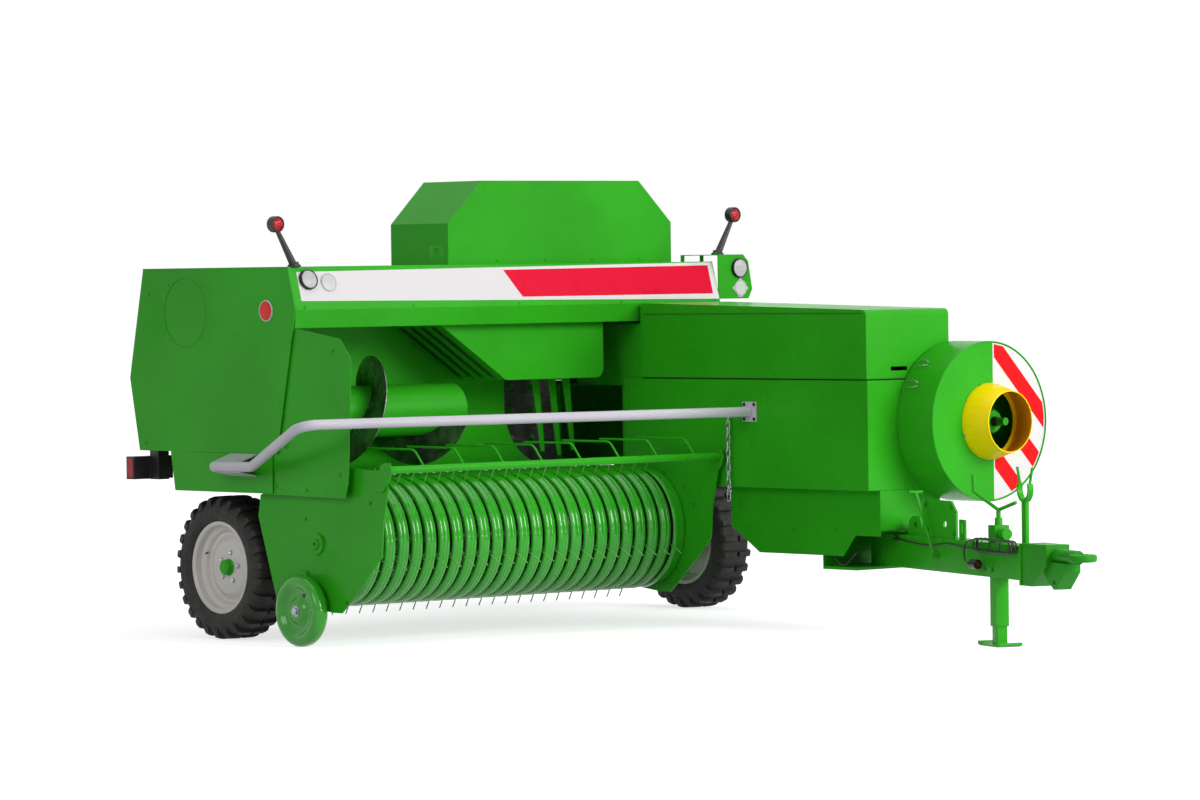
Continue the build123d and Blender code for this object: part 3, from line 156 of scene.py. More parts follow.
def hank_route():
    """Points of the folded turns, bottom run forward, top run back, moving outwards all the time."""
    face, outermost, pitch = -55.5, -85.6, 8.5
    fold, middle = 26.0, 437.0
    front_ends = [-1468, -1456, -1464, -1452]
    rear_ends = [-1130, -1142, -1150, -1138, -1110]
    bow = range(7)
    points = []
    for turn, front in enumerate(front_ends):
        runs = ((-1, rear_ends[turn], front, (0.15, 0.4, 0.7), (0.1, 0.3), (0.4, 0.02)),
                (1, front, rear_ends[turn + 1], (0.3, 0.6, 0.85), (0.55, 0.15), (0.85, 0.03)))
        for way, start, end, shares, (run_out, run_rise), (bow_out, bow_rise) in runs:
            for share in shares:
                side = face - pitch * (turn + run_out + run_rise * share)
                points.append((side, start + (end - start) * share, middle + way * fold))
            for step in bow:
                angle, side = radians(90 - 30 * step), face - pitch * (turn + bow_out + bow_rise * step)
                points.append((side, end + way * fold * cos(angle), middle + way * fold * sin(angle)))
    return [(max(side, outermost), back, up) for side, back, up in points[:-len(bow)]]


def nurbs_line(name, points, radius):
    """A curve object of one open NURBS spline, each point with the section's own radius."""
    curve = bpy.data.curves.new(name, "CURVE")
    curve.dimensions = "3D"
    spline = curve.splines.new("NURBS")
    spline.points.add(len(points) - 1)
    for knot, place in zip(spline.points, points):
        knot.co = (*place, 1)
        knot.radius = radius
    spline.order_u = 3
    spline.use_endpoint_u = True
    curve.resolution_u = 6
    curve.bevel_depth = 1.0
    curve.bevel_resolution = 3
    curve.use_fill_caps = True
    return in_scene(name, curve)


def line_length(line):
    """The length of a curve object's own line, measured without its section."""
    depth, line.data.bevel_depth = line.data.bevel_depth, 0
    bpy.context.view_layer.update()
    plain = bpy.data.meshes.new_from_object(line.evaluated_get(bpy.context.evaluated_depsgraph_get()))
    places = [v.co.copy() for v in plain.vertices]
    bpy.data.meshes.remove(plain)
    line.data.bevel_depth = depth
    return sum((b - a).length for a, b in zip(places, places[1:]))


lamp_cable = nurbs_line(
    "lamp_cable", [on_drawbar(*point) for point in cable_route + hank_route() + cable_end_route], cable_width / 2)
print("lamp cable length", round(line_length(lamp_cable), 3))

# %% [markdown]
# The picture has the machine on white. The floor gets its colour for the camera from a little glow of its own, and
# still takes the machine's soft shadow. One large soft light stands in front, a weaker one at the machine's right
# side, so that the fronts are bright and the sides deeper, as in the picture. A low strip in front draws the bright
# lines on the pick-up's bands, and a wide light above keeps the tops even.

# %% Floor, sky and lights
def add_node(tree, kind, inputs=None, **settings):
    """A new node with its settings, and each named input given a value or linked to a socket."""
    node = tree.nodes.new(kind)
    for name, value in settings.items():
        setattr(node, name, value)
    for name, value in (inputs or {}).items():
        if isinstance(value, bpy.types.NodeSocket):
            tree.links.new(value, node.inputs[name])
        else:
            node.inputs[name].default_value = value
    return node


def emptied(owner):
    """The node tree of a material or world, with nothing in it."""
    owner.use_nodes = True
    owner.node_tree.nodes.clear()
    return owner.node_tree


def seen_ray(tree):
    """1 for what the camera, a reflection or glass sees, and 0 for light that falls on things."""
    path = add_node(tree, "ShaderNodeLightPath").outputs
    seen = path["Is Camera Ray"]
    for ray in ("Is Glossy Ray", "Is Transmission Ray"):
        seen = add_node(tree, "ShaderNodeMath", {0: seen, 1: path[ray]}, operation="MAXIMUM").outputs[0]
    return seen


def add_sky(level):
    """A white sky for the eye that lights things at a given level."""
    bpy.context.scene.world = bpy.data.worlds.new("sky")
    tree = emptied(bpy.context.scene.world)
    dim, white = [add_node(tree, "ShaderNodeBackground", {"Color": (grey, grey, grey, 1)}).outputs[0]
                  for grey in (level, 1)]
    mix = add_node(tree, "ShaderNodeMixShader", {0: seen_ray(tree), 1: dim, 2: white}).outputs[0]
    add_node(tree, "ShaderNodeOutputWorld", {0: mix})


def add_floor(size=60):
    """A pale floor that shows the machine's shadow on white, with a glow that rises away from the machine."""
    mesh = bpy.data.meshes.new("floor")
    corners = [(-size, -size, 0), (size, -size, 0), (size, size, 0), (-size, size, 0)]
    mesh.from_pydata(corners, [], [(0, 1, 2, 3)])
    paint = bpy.data.materials.new("studio_floor")
    tree = emptied(paint)
    matt = add_node(tree, "ShaderNodeBsdfDiffuse", {"Color": (0.62, 0.62, 0.63, 1)}).outputs[0]
    place = add_node(tree, "ShaderNodeTexCoord").outputs["Object"]
    away = add_node(tree, "ShaderNodeVectorMath", {0: place}, operation="LENGTH").outputs["Value"]
    reach = {"Value": away, "From Min": 2.2, "From Max": 6.0, "To Min": 0.70, "To Max": 1.0}
    rise = add_node(tree, "ShaderNodeMapRange", reach).outputs["Result"]
    level = add_node(tree, "ShaderNodeMath", {0: seen_ray(tree), 1: rise}, operation="MULTIPLY").outputs[0]
    glow = add_node(tree, "ShaderNodeEmission", {"Color": (1, 1, 1, 1), "Strength": level}).outputs[0]
    both = add_node(tree, "ShaderNodeAddShader", {0: matt, 1: glow}).outputs[0]
    add_node(tree, "ShaderNodeOutputMaterial", {"Surface": both})
    mesh.materials.append(paint)
    in_scene("floor", mesh)


def add_light(name, place, target, width, height, power):
    """A soft rectangular light aimed at a place."""
    data = bpy.data.lights.new(name, "AREA")
    data.shape = "RECTANGLE"
    data.size, data.size_y = width, height
    data.energy = power
    lamp = in_scene(name, data)
    lamp.location = place
    lamp.rotation_euler = (Vector(target) - Vector(place)).to_track_quat("-Z", "Y").to_euler()


bpy.context.scene.view_settings.view_transform = "Standard"
add_sky(0.26)
add_floor()
add_light("front_light", (3.5, -11, 5.0), (0, -0.5, 0.9), 7, 4, 1010)
add_light("side_light", (-10, -3, 4.5), (0, 0, 0.9), 5, 4, 240)
add_light("strip_light", (3.0, -10.5, 0.9), (0.3, -1.0, 0.6), 6, 0.45, 120)
add_light("top_light", (0, 0, 9), (0, 0, 0), 8, 8, 280)
print("floor, sky and four soft lights")

# %% [markdown]
# The machine is sprayed with a glossy green enamel. On thin sheet such paint is never quite even: the colour drifts
# a little, the gloss varies, the surface has the fine ripple called orange peel, and the sheet itself is slightly
# wavy, which shows in its reflections. Four noise textures at real sizes give all of this. Castings are duller and
# a shade deeper than sheet, and the wheels' silver and the guard's yellow shine a little more.

# %% Enamel
def colour(code):
    """A linear colour from a hex code."""
    parts = [int(code[i:i + 2], 16) / 255 for i in (1, 3, 5)]
    return (*[c / 12.92 if c < 0.04045 else ((c + 0.055) / 1.055) ** 2.4 for c in parts], 1)


def start_finish(name, base, roughness, metallic=0.0, specular=0.5, coat=0.0, coat_roughness=0.03):
    """A material with a Principled shader, and the object's own coordinates."""
    finish = bpy.data.materials.new(name)
    finish.use_nodes = True
    tree = finish.node_tree
    shader = tree.nodes["Principled BSDF"]
    levels = {
        "Base Color": colour(base), "Roughness": roughness, "Metallic": metallic, "Specular IOR Level": specular,
        "Coat Weight": coat, "Coat Roughness": coat_roughness,
    }
    for socket, value in levels.items():
        shader.inputs[socket].default_value = value
    return finish, tree, shader, add_node(tree, "ShaderNodeTexCoord").outputs["Object"]


def add_noise(tree, place, scale, detail=3.0, stretch=(1, 1, 1)):
    """A noise value whose scale is in grains per metre."""
    fit = add_node(tree, "ShaderNodeMapping", {"Vector": place, "Scale": stretch}).outputs[0]
    return add_node(tree, "ShaderNodeTexNoise", {"Vector": fit, "Scale": scale, "Detail": detail}).outputs["Fac"]


def vary(tree, value, low, high, target):
    """Spreads a noise value between two limits and feeds it to a socket."""
    span = {"Value": value, "From Min": 0.3, "From Max": 0.7, "To Min": low, "To Max": high}
    tree.links.new(add_node(tree, "ShaderNodeMapRange", span).outputs["Result"], target)


def blend_colours(tree, value, base, deep, target, low=0.35, high=0.65):
    """Mixes two hex colours by a value and feeds the colour to a socket."""
    share = add_node(tree, "ShaderNodeMapRange", {"Value": value, "From Min": low, "From Max": high}).outputs[0]
    mix = add_node(tree, "ShaderNodeMix", {0: share, 6: colour(base), 7: colour(deep)}, data_type="RGBA")
    tree.links.new(mix.outputs[2], target)


def add_bump(tree, value, depth, shader):
    """Bump of a real depth in metres, on top of the bump that is there."""
    bump = add_node(tree, "ShaderNodeBump", {"Height": value, "Strength": 1.0, "Distance": depth})
    normal = shader.inputs["Normal"]
    if normal.is_linked:
        tree.links.new(normal.links[0].from_socket, bump.inputs["Normal"])
    tree.links.new(bump.outputs[0], normal)


def grained(name, base, deep, roughness, gloss, drift, spots, grains, stretch=(1, 1, 1), **levels):
    """A material whose colour, gloss and surface vary with noise: (grains per metre, detail, depth in metres)."""
    finish, tree, shader, place = start_finish(name, base, roughness, **levels)
    blend_colours(tree, add_noise(tree, place, *drift, stretch), base, deep, shader.inputs["Base Color"])
    dull, matt = roughness + gloss[0], roughness + gloss[1]
    vary(tree, add_noise(tree, place, *spots, stretch), dull, matt, shader.inputs["Roughness"])
    for scale, detail, depth in grains:
        add_bump(tree, add_noise(tree, place, scale, detail, stretch), depth, shader)
    return finish


def enamel(name, base, deep, roughness=0.3, coat=0.05):
    """Sprayed gloss paint: drift over 600 mm, waves of the sheet 290 mm long, orange peel of 2.4 mm."""
    return grained(
        name, base, deep, roughness, (-0.05, 0.07), (1.7, 3), (9, 3), ((3.5, 0, 0.0011), (420, 2, 0.00006)),
        specular=0.10, coat=coat, coat_roughness=0.12)


green = enamel("green_enamel", "#30a71c", "#2b9b17")
green_cast = enamel("green_casting", "#289618", "#228613", 0.42)
silver = enamel("silver_wheel_paint", "#d8d4cf", "#cac6c1", 0.3, 0.3)
glossy_green = enamel("green_gloss_enamel", "#2ea81c", "#2a9c17", 0.2, 0.7)
rail_paint = enamel("pale_tube_paint", "#c9c5cf", "#bdb9c4", 0.32)
yellow = enamel("yellow_guard", "#ffdf00", "#fad600", 0.34, 0.12)
print("enamels", [m.name for m in (green, green_cast, silver, glossy_green, rail_paint, yellow)])

# %% [markdown]
# Bare metals differ from paint by what wear leaves on them. The auger's flight is polished dark by the crop,
# galvanised sheet shows its crystals, and the feed plates are plain rolled steel with fine lines. The tines are
# green, painted paler than the enamel as a painted sheen of the light that thin wire catches. Rubber and moulded
# plastic are dark and matt with a fine grain.

# %% Bare metals, rubber and plastics
def worn_metal(name, base, deep, roughness, grain, stretch=(1, 1, 1)):
    """Metal with patches of about 70 mm and fine grain, drawn out along one way if stretched."""
    return grained(
        name, base, deep, roughness, (-0.08, 0.12), (14, 4), (40, 4), ((grain, 2, 0.00008),), stretch,
        metallic=0.85)


def matt_finish(name, base, deep, roughness, grain, depth):
    """Rubber or moulded plastic with a fine grain and a little dust in its colour, in spots of 90 mm."""
    return grained(
        name, base, deep, roughness, (-0.08, 0.08), (11, 4), (30, 3), ((grain, 3, depth),), specular=0.4)


def galvanised(name):
    """Hot-dip zinc with its crystal patches of about 9 mm."""
    finish, tree, shader, place = start_finish(name, "#9c9fa6", 0.42, metallic=0.8)
    crystals = add_node(tree, "ShaderNodeTexVoronoi", {"Vector": place, "Scale": 110.0}).outputs["Color"]
    first, second = add_node(tree, "ShaderNodeSeparateColor", {0: crystals}).outputs[:2]
    blend_colours(tree, first, "#8f929a", "#b4b7bd", shader.inputs["Base Color"], 0.1, 0.9)
    vary(tree, second, 0.34, 0.5, shader.inputs["Roughness"])
    add_bump(tree, add_noise(tree, place, 90), 0.0001, shader)
    return finish


flight_steel = worn_metal("polished_flight", "#7d837a", "#4c524a", 0.3, 260)
# The tines' pale green is their green paint lightened by a painted sheen.
tine_paint_and_sheen = enamel("spring_wire_paint_and_sheen", "#7fbf68", "#6cae58", 0.34)
plain_steel = worn_metal("rolled_steel", "#7c7a78", "#63615f", 0.4, 300, (1, 1, 8))
bright_steel = worn_metal("bright_steel", "#b3b4b6", "#9b9c9f", 0.3, 400)
zinc = galvanised("galvanised_steel")
tyre_rubber = matt_finish("tyre_rubber", "#100f0d", "#181614", 0.7, 300, 0.00025)
cable_rubber = matt_finish("cable_rubber", "#121212", "#1b1b1b", 0.5, 500, 0.00006)
black_plastic = matt_finish("black_plastic", "#141414", "#1c1c1c", 0.4, 600, 0.00005)
print("metals and rubbers ready")

# %% [markdown]
# A lamp lens is clear or coloured plastic with ribs moulded into its inside. Seen from outside it is a glossy
# colour with stripes in it, so a plain glossy shader with a wave bump is enough. The ribs are drawn 4 to 5 mm
# wide, because finer ones would not show.

# %% Lenses
def lens(name, base, deep, ribs):
    """Glossy lens plastic with ribs, at a wave scale per metre."""
    finish, tree, shader, place = start_finish(
        name, base, 0.12, specular=0.2, coat=0.12, coat_roughness=0.05)
    wave = {"Vector": place, "Scale": ribs, "Distortion": 0.0}
    stripes = add_node(tree, "ShaderNodeTexWave", wave, wave_type="BANDS").outputs["Fac"]
    blend_colours(tree, stripes, base, deep, shader.inputs["Base Color"], 0.0, 1.0)
    add_bump(tree, stripes, 0.0004, shader)
    return finish


clear_lens = lens("clear_lens", "#c6c4c6", "#a9a8ab", 60.0)
red_lens = lens("red_lens", "#c80a1c", "#8f0614", 60.0)
amber_lens = lens("orange_reflector", "#f01c00", "#d81400", 80.0)
white_lens = lens("white_reflector", "#cfcfce", "#c4c4c4", 80.0)
print("four lenses")

# %% [markdown]
# The front beam carries a plain white band with a red part, and the drum's face has the red and white warning
# stripes that are common on wide farm machines. Both are foils on the enamel, so they are painted by place: a few
# comparisons of the machine's own coordinates, in metres, say where the white and the red lie.

# %% Foils on the enamel
def straight(tree, along, rise, start):
    """A value that starts somewhere and rises along another one, each a socket or a number."""
    return add_node(tree, "ShaderNodeMath", {0: along, 1: rise, 2: start}, operation="MULTIPLY_ADD").outputs[0]


def mask(tree, *pairs):
    """1 where the first value of each pair is greater than its second one, and 0 elsewhere."""
    whole = 1.0
    for more, less in pairs:
        test = add_node(tree, "ShaderNodeMath", {0: more, 1: less}, operation="GREATER_THAN").outputs[0]
        whole = add_node(tree, "ShaderNodeMath", {0: test, 1: whole}, operation="MULTIPLY").outputs[0]
    return whole


def foiled(name, ground, ink, areas):
    """The green enamel with a foil of two colours, laid where two areas are 1."""
    finish = green.copy()
    finish.name = name
    tree = finish.node_tree
    target = tree.nodes["Principled BSDF"].inputs["Base Color"]
    place = next(n for n in tree.nodes if n.type == "TEX_COORD").outputs["Object"]
    own = add_node(tree, "ShaderNodeVectorMath", {0: place, 1: origin_move}, operation="SUBTRACT").outputs[0]
    painted = target.links[0].from_socket
    for area, code in zip(areas(tree, *add_node(tree, "ShaderNodeSeparateXYZ", {0: own}).outputs), (ground, ink)):
        mix = {0: area, 6: painted, 7: colour(code)}
        painted = add_node(tree, "ShaderNodeMix", mix, data_type="RGBA").outputs[2]
    tree.links.new(painted, target)
    return finish


def beam_areas(tree, x, y, z):
    """The white band on the beam's sloped front, and its red part with a slanting end."""
    low, high = straight(tree, x, -0.0093, 1.520), straight(tree, x, 0.0085, 1.648)
    band = mask(tree, (z, low), (high, z), (x, 0.012), (2.478, x), (-0.601, y))
    slant, red_top = straight(tree, z, 0.70, x), straight(tree, x, 0.0072, 1.637)
    return band, mask(tree, (z, 1.522), (red_top, z), (slant, 2.347), (2.446, x), (band, 0.5))


def drum_areas(tree, x, y, z):
    """The white foil on the left part of the drum's face, and its slanting red stripes."""
    out, up = straight(tree, x, 1.0, -2.505), straight(tree, z, 1.0, -0.942)
    reach = straight(tree, out, out, straight(tree, up, up, 0.0))
    foil = mask(tree, (x, 2.530), (-2.4055, y), (0.349 ** 2, reach))
    stripe_pitch, stripe_start = 0.2475, 4.0
    run = straight(tree, straight(tree, x, 1.05, z), 1 / stripe_pitch, -stripe_start / stripe_pitch)
    share = add_node(tree, "ShaderNodeMath", {0: run}, operation="FRACT").outputs[0]
    return foil, mask(tree, (share, 0.56), (x, 2.537), (0.344 ** 2, reach), (foil, 0.5))


beam_finish = foiled("beam_enamel_with_band", "#dad6d8", "#dc0030", beam_areas)
drum_finish = foiled("drum_enamel_with_stripes", "#dad8d9", "#e00c14", drum_areas)
print("foils", beam_finish.name, drum_finish.name)

# %% [markdown]
# The CAD sheets are right in shape, but their edges are perfectly sharp, and no real folded or cut sheet is. A
# merged copy of each gets its flat faces joined and every edge rounded by a Bevel modifier, so edges catch the
# light. The copy then stands for the CAD node, which stays hidden for collision.

# %% Dressing the CAD sheets
def tied(piece, body, covers, angle):
    """Smooth shading that stays sharp at real edges, then the piece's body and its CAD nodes."""
    piece.data.shade_smooth()
    piece.data.set_sharp_from_angle(angle=radians(angle))
    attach(piece, body)
    if covers:
        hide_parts(*covers)
    return piece


def mesh_of(shape, name):
    """A mesh from a finished shape, which is freed."""
    mesh = bpy.data.meshes.new(name)
    shape.to_mesh(mesh)
    shape.free()
    return mesh


def piece_of(shape, name, finish, body, slot, covers=(), edge=0.0, angle=35, segments=2, edge_angle=35):
    """A finished piece from a shape, with edges rounded by a width in millimetres."""
    piece = in_scene(name, mesh_of(shape, name))
    piece.data.materials.append(finish)
    if edge:
        soft = piece.modifiers.new("edges", "BEVEL")
        soft.width = edge * 0.001
        soft.segments = segments
        soft.limit_method = "ANGLE"
        soft.angle_limit = radians(edge_angle)
        soft.harden_normals = True
    return tied(piece, body, covers, angle)


def dressed(name, finish, slot, width, segments=2):
    """A merged copy of a CAD node with its edges rounded by a width in millimetres."""
    shape, body = bmesh.new(), nodes[name]["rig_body"]
    shape.from_mesh(nodes[name].data)
    bmesh.ops.remove_doubles(shape, verts=shape.verts, dist=0.00002)
    bmesh.ops.dissolve_limit(shape, angle_limit=radians(0.4), verts=shape.verts, edges=shape.edges)
    piece_of(shape, name + "_dressed", finish, body, slot, (name,), width, segments=segments, edge_angle=40)


sheets = {
    "side_panel_right": 1.6, "side_panel_left": 1.6, "rear_panel": 1.6, "deck": 1.6, "lamp_plate": 1.8,
    "hood": 1.8, "side_skirt": 1.4, "end_plate": 1.6, "feeder_housing": 1.6, "header_trough": 1.4,
    "feeder_fingers": 2.2, "box_panels": 1.6, "box_skirt": 1.6, "box_cover": 1.8, "pickup_frame": 2.0,
    "guard_brackets": 2.0, "gauge_arm": 2.5, "lift_brackets": 2.0, "main_frame": 4.0, "swing_mount": 2.5,
    "axle": 4.0, "chamber": 1.8, "density_rails": 2.5, "drawbar": 5.0, "jack_tube": 3.0, "jack_leg": 2.5,
    "drawbar_fittings": 2.0, "chute_hinge": 2.0, "bale_chute": 2.5, "cover_hinges": 1.0, "knotter": 2.0,
}
others = {
    "nose_beam": (beam_finish, "beam_paint", 1.8), "drum": (drum_finish, "green_paint", 1.4),
    "drum_back": (green, "green_paint", 3.0), "flywheel": (green_cast, "cast_iron", 3.0),
    "tow_head": (green_cast, "cast_iron", 5.0, 3), "feed_plate": (plain_steel, "bare_steel", 1.2),
    "plunger": (plain_steel, "bare_steel", 2.0), "gearbox": (green_cast, "cast_iron", 8.0, 3),
    "needle_yoke": (green_cast, "cast_iron", 3.0), "rear_lamps": (black_plastic, "black_plastic", 4.0, 3),
    "safety_tube": (rail_paint, "silver_paint", 1.5), "shaft_cone": (yellow, "yellow_plastic", 1.4, 3),
}
for name, width in sheets.items():
    dressed(name, green, "green_paint", width)
for name, details in others.items():
    dressed(name, *details)
print("dressed nodes", len(sheets) + len(others))

# %% [markdown]
# Many parts of the machine are turned, bent from bar or cut from plate. Three small shape helpers make them: a
# profile spun about an axis, a bar bent through places, and a plate with a given outline. A piece is then built
# from a list of such steps.

# %% Helpers for turned, bent and cut parts
def turned(shape, profile, centre, axis, steps=48):
    """Spins (along, radius) millimetres about an axis and closes the seam."""
    axis = Vector(axis).normalized()
    out = axis.orthogonal().normalized()
    knots = [shape.verts.new(centre + axis * (a * 0.001) + out * (r * 0.001)) for a, r in profile]
    lines = [shape.edges.new(pair) for pair in zip(knots, knots[1:])]
    bmesh.ops.spin(shape, geom=knots + lines, cent=centre, axis=axis, angle=2 * pi, steps=steps)
    bmesh.ops.remove_doubles(shape, verts=shape.verts, dist=0.000005)


def eased(points, radius, steps=5):
    """The same route with its corners rounded, radius in metres."""
    route = [points[0]]
    for before, corner, after in zip(points, points[1:], points[2:]):
        first, last = (before - corner), (after - corner)
        cut = min(radius, first.length * 0.48, last.length * 0.48)
        start, end = corner + first.normalized() * cut, corner + last.normalized() * cut
        for step in range(steps + 1):
            t = step / steps
            route.append(start * (1 - t) ** 2 + corner * (2 * t * (1 - t)) + end * t ** 2)
    return route + [points[-1]]


def skin(shape, rings, closed=False):
    """Faces between rings of points in a row, and over the two ends if the row isn't closed."""
    for one, two in zip(rings, rings[1:] + rings[:closed]):
        for s in range(len(one)):
            t = (s + 1) % len(one)
            shape.faces.new((one[s], one[t], two[t], two[s]))
    if not closed:
        shape.faces.new(rings[0][::-1])
        shape.faces.new(rings[-1])


def bent_bar(shape, points, radius, bend=0.0, sides=12, taper=1.0, closed=False):
    """A round bar through places in metres, radius and bend in millimetres, or a closed ring of bar."""
    route = eased(points, bend * 0.001) if bend and len(points) > 2 else list(points)
    rings, out, last = [], None, len(route) - 1
    for index, place in enumerate(route):
        before = route[index - 1] if index or closed else place
        after = route[(index + 1) % len(route)] if index < last or closed else place
        along = (after - before).normalized()
        out = (out - along * out.dot(along) if out else along.orthogonal()).normalized()
        across = along.cross(out)
        size = radius * 0.001 * (1 + (taper - 1) * index / last)
        rings.append([shape.verts.new(place + (out * cos(a) + across * sin(a)) * size) for a in around(sides)])
    skin(shape, rings, closed)


def plate(shape, outline, thickness):
    """A flat plate from places in metres and a thickness vector."""
    skin(shape, [[shape.verts.new(p) for p in outline], [shape.verts.new(p + thickness) for p in outline]])


def shape_from(steps):
    """A shape made in steps, each a shape helper with what it needs, its faces turned outwards."""
    shape = bmesh.new()
    for make, *needs in steps:
        make(shape, *needs)
    bmesh.ops.recalc_face_normals(shape, faces=shape.faces)
    return shape


def built(name, finish, body, slot, *steps, **options):
    """A finished piece made in steps."""
    return piece_of(shape_from(steps), name, finish, body, slot, **options)


def mirrored(half, middle):
    """A whole profile from the half that ends on its middle line."""
    return half + [(2 * middle - a, b) for a, b in half[-2::-1]]


print("helpers ready")

# %% [markdown]
# Bolts, tines, lugs and links repeat many times. One Geometry Nodes tree puts a copy of a small piece on every
# point of a point cloud, turned and scaled by the point's own attributes, and gives the finish. The result is
# stored as a plain mesh, because a machine part is one solid thing.

# %% Copies on points
def copies_tree():
    """Geometry nodes: a piece on each point, with the point's turn and size."""
    tree = bpy.data.node_groups.new("copies_on_points", "GeometryNodeTree")
    for name, kind in (("Points", "Geometry"), ("Piece", "Object"), ("Finish", "Material")):
        tree.interface.new_socket(name, in_out="INPUT", socket_type="NodeSocket" + kind)
    tree.interface.new_socket("Copies", in_out="OUTPUT", socket_type="NodeSocketGeometry")
    given = add_node(tree, "NodeGroupInput").outputs
    turn, size = [add_node(tree, "GeometryNodeInputNamedAttribute", {"Name": name}, data_type="FLOAT_VECTOR")
                  .outputs["Attribute"] for name in ("turn", "size")]
    info = add_node(tree, "GeometryNodeObjectInfo", {"Object": given["Piece"], "As Instance": True})
    copies = add_node(tree, "GeometryNodeInstanceOnPoints", {
        "Points": given["Points"], "Instance": info.outputs["Geometry"], "Scale": size,
        "Rotation": add_node(tree, "FunctionNodeEulerToRotation", {0: turn}).outputs[0]}).outputs[0]
    solid = add_node(tree, "GeometryNodeRealizeInstances", {0: copies}).outputs[0]
    paint = {"Geometry": solid, "Material": given["Finish"]}
    add_node(tree, "NodeGroupOutput", {0: add_node(tree, "GeometryNodeSetMaterial", paint).outputs[0]})
    return tree


copy_tree = copies_tree()


def facing(direction, spin=0.0):
    """Turn that points a piece's Z along a direction, after a spin about it."""
    return (Vector(direction).to_track_quat("Z", "Y").to_matrix() @ Matrix.Rotation(spin, 3, "Z")).to_euler()


def seed(name, *steps):
    """A small hidden mesh object to be copied."""
    return bpy.data.objects.new(name, mesh_of(shape_from(steps), name))


def copied(name, original, places, finish, body, covers=(), angle=35):
    """Copies of a seed on (place, turn, size), kept as one plain mesh."""
    points = bpy.data.meshes.new(name + "_points")
    points.from_pydata([p for p, _, _ in places], [], [])
    turn = points.attributes.new("turn", "FLOAT_VECTOR", "POINT")
    size = points.attributes.new("size", "FLOAT_VECTOR", "POINT")
    for index, (_, euler, scale) in enumerate(places):
        turn.data[index].vector = tuple(euler)
        size.data[index].vector = (scale, scale, scale)
    piece = in_scene(name, points)
    grow = piece.modifiers.new("copies", "NODES")
    grow.node_group = copy_tree
    sockets = {s.name: s.identifier for s in copy_tree.interface.items_tree if s.in_out == "INPUT"}
    grow[sockets["Piece"]] = original
    grow[sockets["Finish"]] = finish
    bpy.context.view_layer.update()
    plain = bpy.data.meshes.new_from_object(piece.evaluated_get(bpy.context.evaluated_depsgraph_get()))
    piece.modifiers.remove(grow)
    piece.data = plain
    plain.name = name
    print(name, len(places), "copies", len(plain.polygons), "faces")
    return tied(piece, body, covers, angle)


print("copy tree", copy_tree.name)

# %% [markdown]
# Between the rows of tines run narrow sheet bands that strip the grass off. Each is pressed with two beads to
# stiffen it, and its edges are folded in, which gives the bright double line on each band. A plain wide band ends
# the row at the left. Behind the reel a sheet keeps the crop from falling through; it is dark steel, as painted
# shade for the gaps between the bands.

# %% Stripper bands
reel_y, reel_z, band_reach = -725, 452, 280
band_count, band_start, band_pitch = 24, 26.3, 76.6
band_section = mirrored(
    [(0, -15), (1.5, -7), (6, -2.5), (13, -0.8), (18, 0.2), (21, 2.4), (24, 0.2), (30, 0.8)], 30)
band_section += [(57.5, -15), (54, -7.5), (30, -5), (6, -7.5), (2.5, -15)]
end_section = [(a * 69 / 60, h * 0.6 if h < 0 else 0) for a, h in band_section]
shade_sheet_edge = [(-470, 716), (-440, 600), (-432, 450), (-440, 300), (-470, 190)]
rear_shade_outline = [at(27, y, z) for y, z in shade_sheet_edge] + [at(27, y - 3, z) for y, z in reversed(shade_sheet_edge)]


def band_path():
    """Places and outward directions along a band, in (y, z) millimetres."""
    path = [((y, reel_z + band_reach), (0, 1)) for y in (-480, -600)]
    for step in range(33):
        angle = radians(90 + 180 * step / 32)
        place = (reel_y + band_reach * cos(angle), reel_z + band_reach * sin(angle))
        path.append((place, (cos(angle), sin(angle))))
    return path + [((y, reel_z - band_reach), (0, -1)) for y in (-600, -466)]


def add_band(shape, start, section):
    """One band: the section carried along the path."""
    skin(shape, [[shape.verts.new(at(start + a, y + out_y * h, z + out_z * h)) for a, h in section]
                 for (y, z), (out_y, out_z) in band_path()])


bands = [(add_band, band_start + band_pitch * index, band_section) for index in range(band_count)]
built("stripper_bands", glossy_green, "pickup", "green_paint", *bands, (add_band, 1864.7, end_section),
      covers=("pickup_bands",), angle=50)
# The sheet behind the reel is dark steel: painted shade for the gaps between the bands.
built("pickup_rear_sheet", flight_steel, "pickup", "dark_steel", (plate, rear_shade_outline, left * 1.906))
print("bands", band_count + 1)

# %% [markdown]
# A tine is a length of spring wire wound two and a half turns round the tine bar, so that it can give when it
# meets a stone. Four bars carry 24 tines each. The reel's shaft and its four discs are plain steel.

# %% Tine reel
coil_radius, coil_half = 0.0165, 0.009
bar_circle, first_bar, first_tine = 0.195, 20, 94.6
disc_profile = [(0, 0), (0, 209), (8, 209), (8, 0)]
tine_route = [
    Vector((coil_half * (2 * step / 30 - 1), coil_radius * sin(radians(30 * step)),
            coil_radius * cos(radians(30 * step)))) for step in range(31)]
tine_route += [Vector((coil_half, y, z)) for y, z in ((0.0165, 0.03), (0.014, 0.09), (0.004, 0.149))]
tine_places = []
reel_steps = []
for row in range(4):
    angle = radians(first_bar + 90 * row)
    centre = at(0, reel_y, reel_z) + Vector((0, -sin(angle), cos(angle))) * bar_circle
    reel_steps.append((bent_bar, [centre + left * 0.030, centre + left * 1.930], 13, 0, 14))
    tine_places += [(centre + left * ((first_tine + band_pitch * column) * 0.001), (angle, 0, 0), 1.0)
                    for column in range(band_count)]
reel_steps.append((bent_bar, [at(27, reel_y, reel_z), at(1933, reel_y, reel_z)], 20, 0, 20))
for x in (34, 660, 1290, 1916):
    reel_steps.append((turned, disc_profile, at(x, reel_y, reel_z), left, 40))
built("reel_bars", plain_steel, "reel", "bare_steel", *reel_steps, edge=0.8)
copied("reel_tines", seed("tine", (bent_bar, tine_route, 2.7, 0, 6)), tine_places, tine_paint_and_sheen, "reel",
       ("tine_reel",), 60)

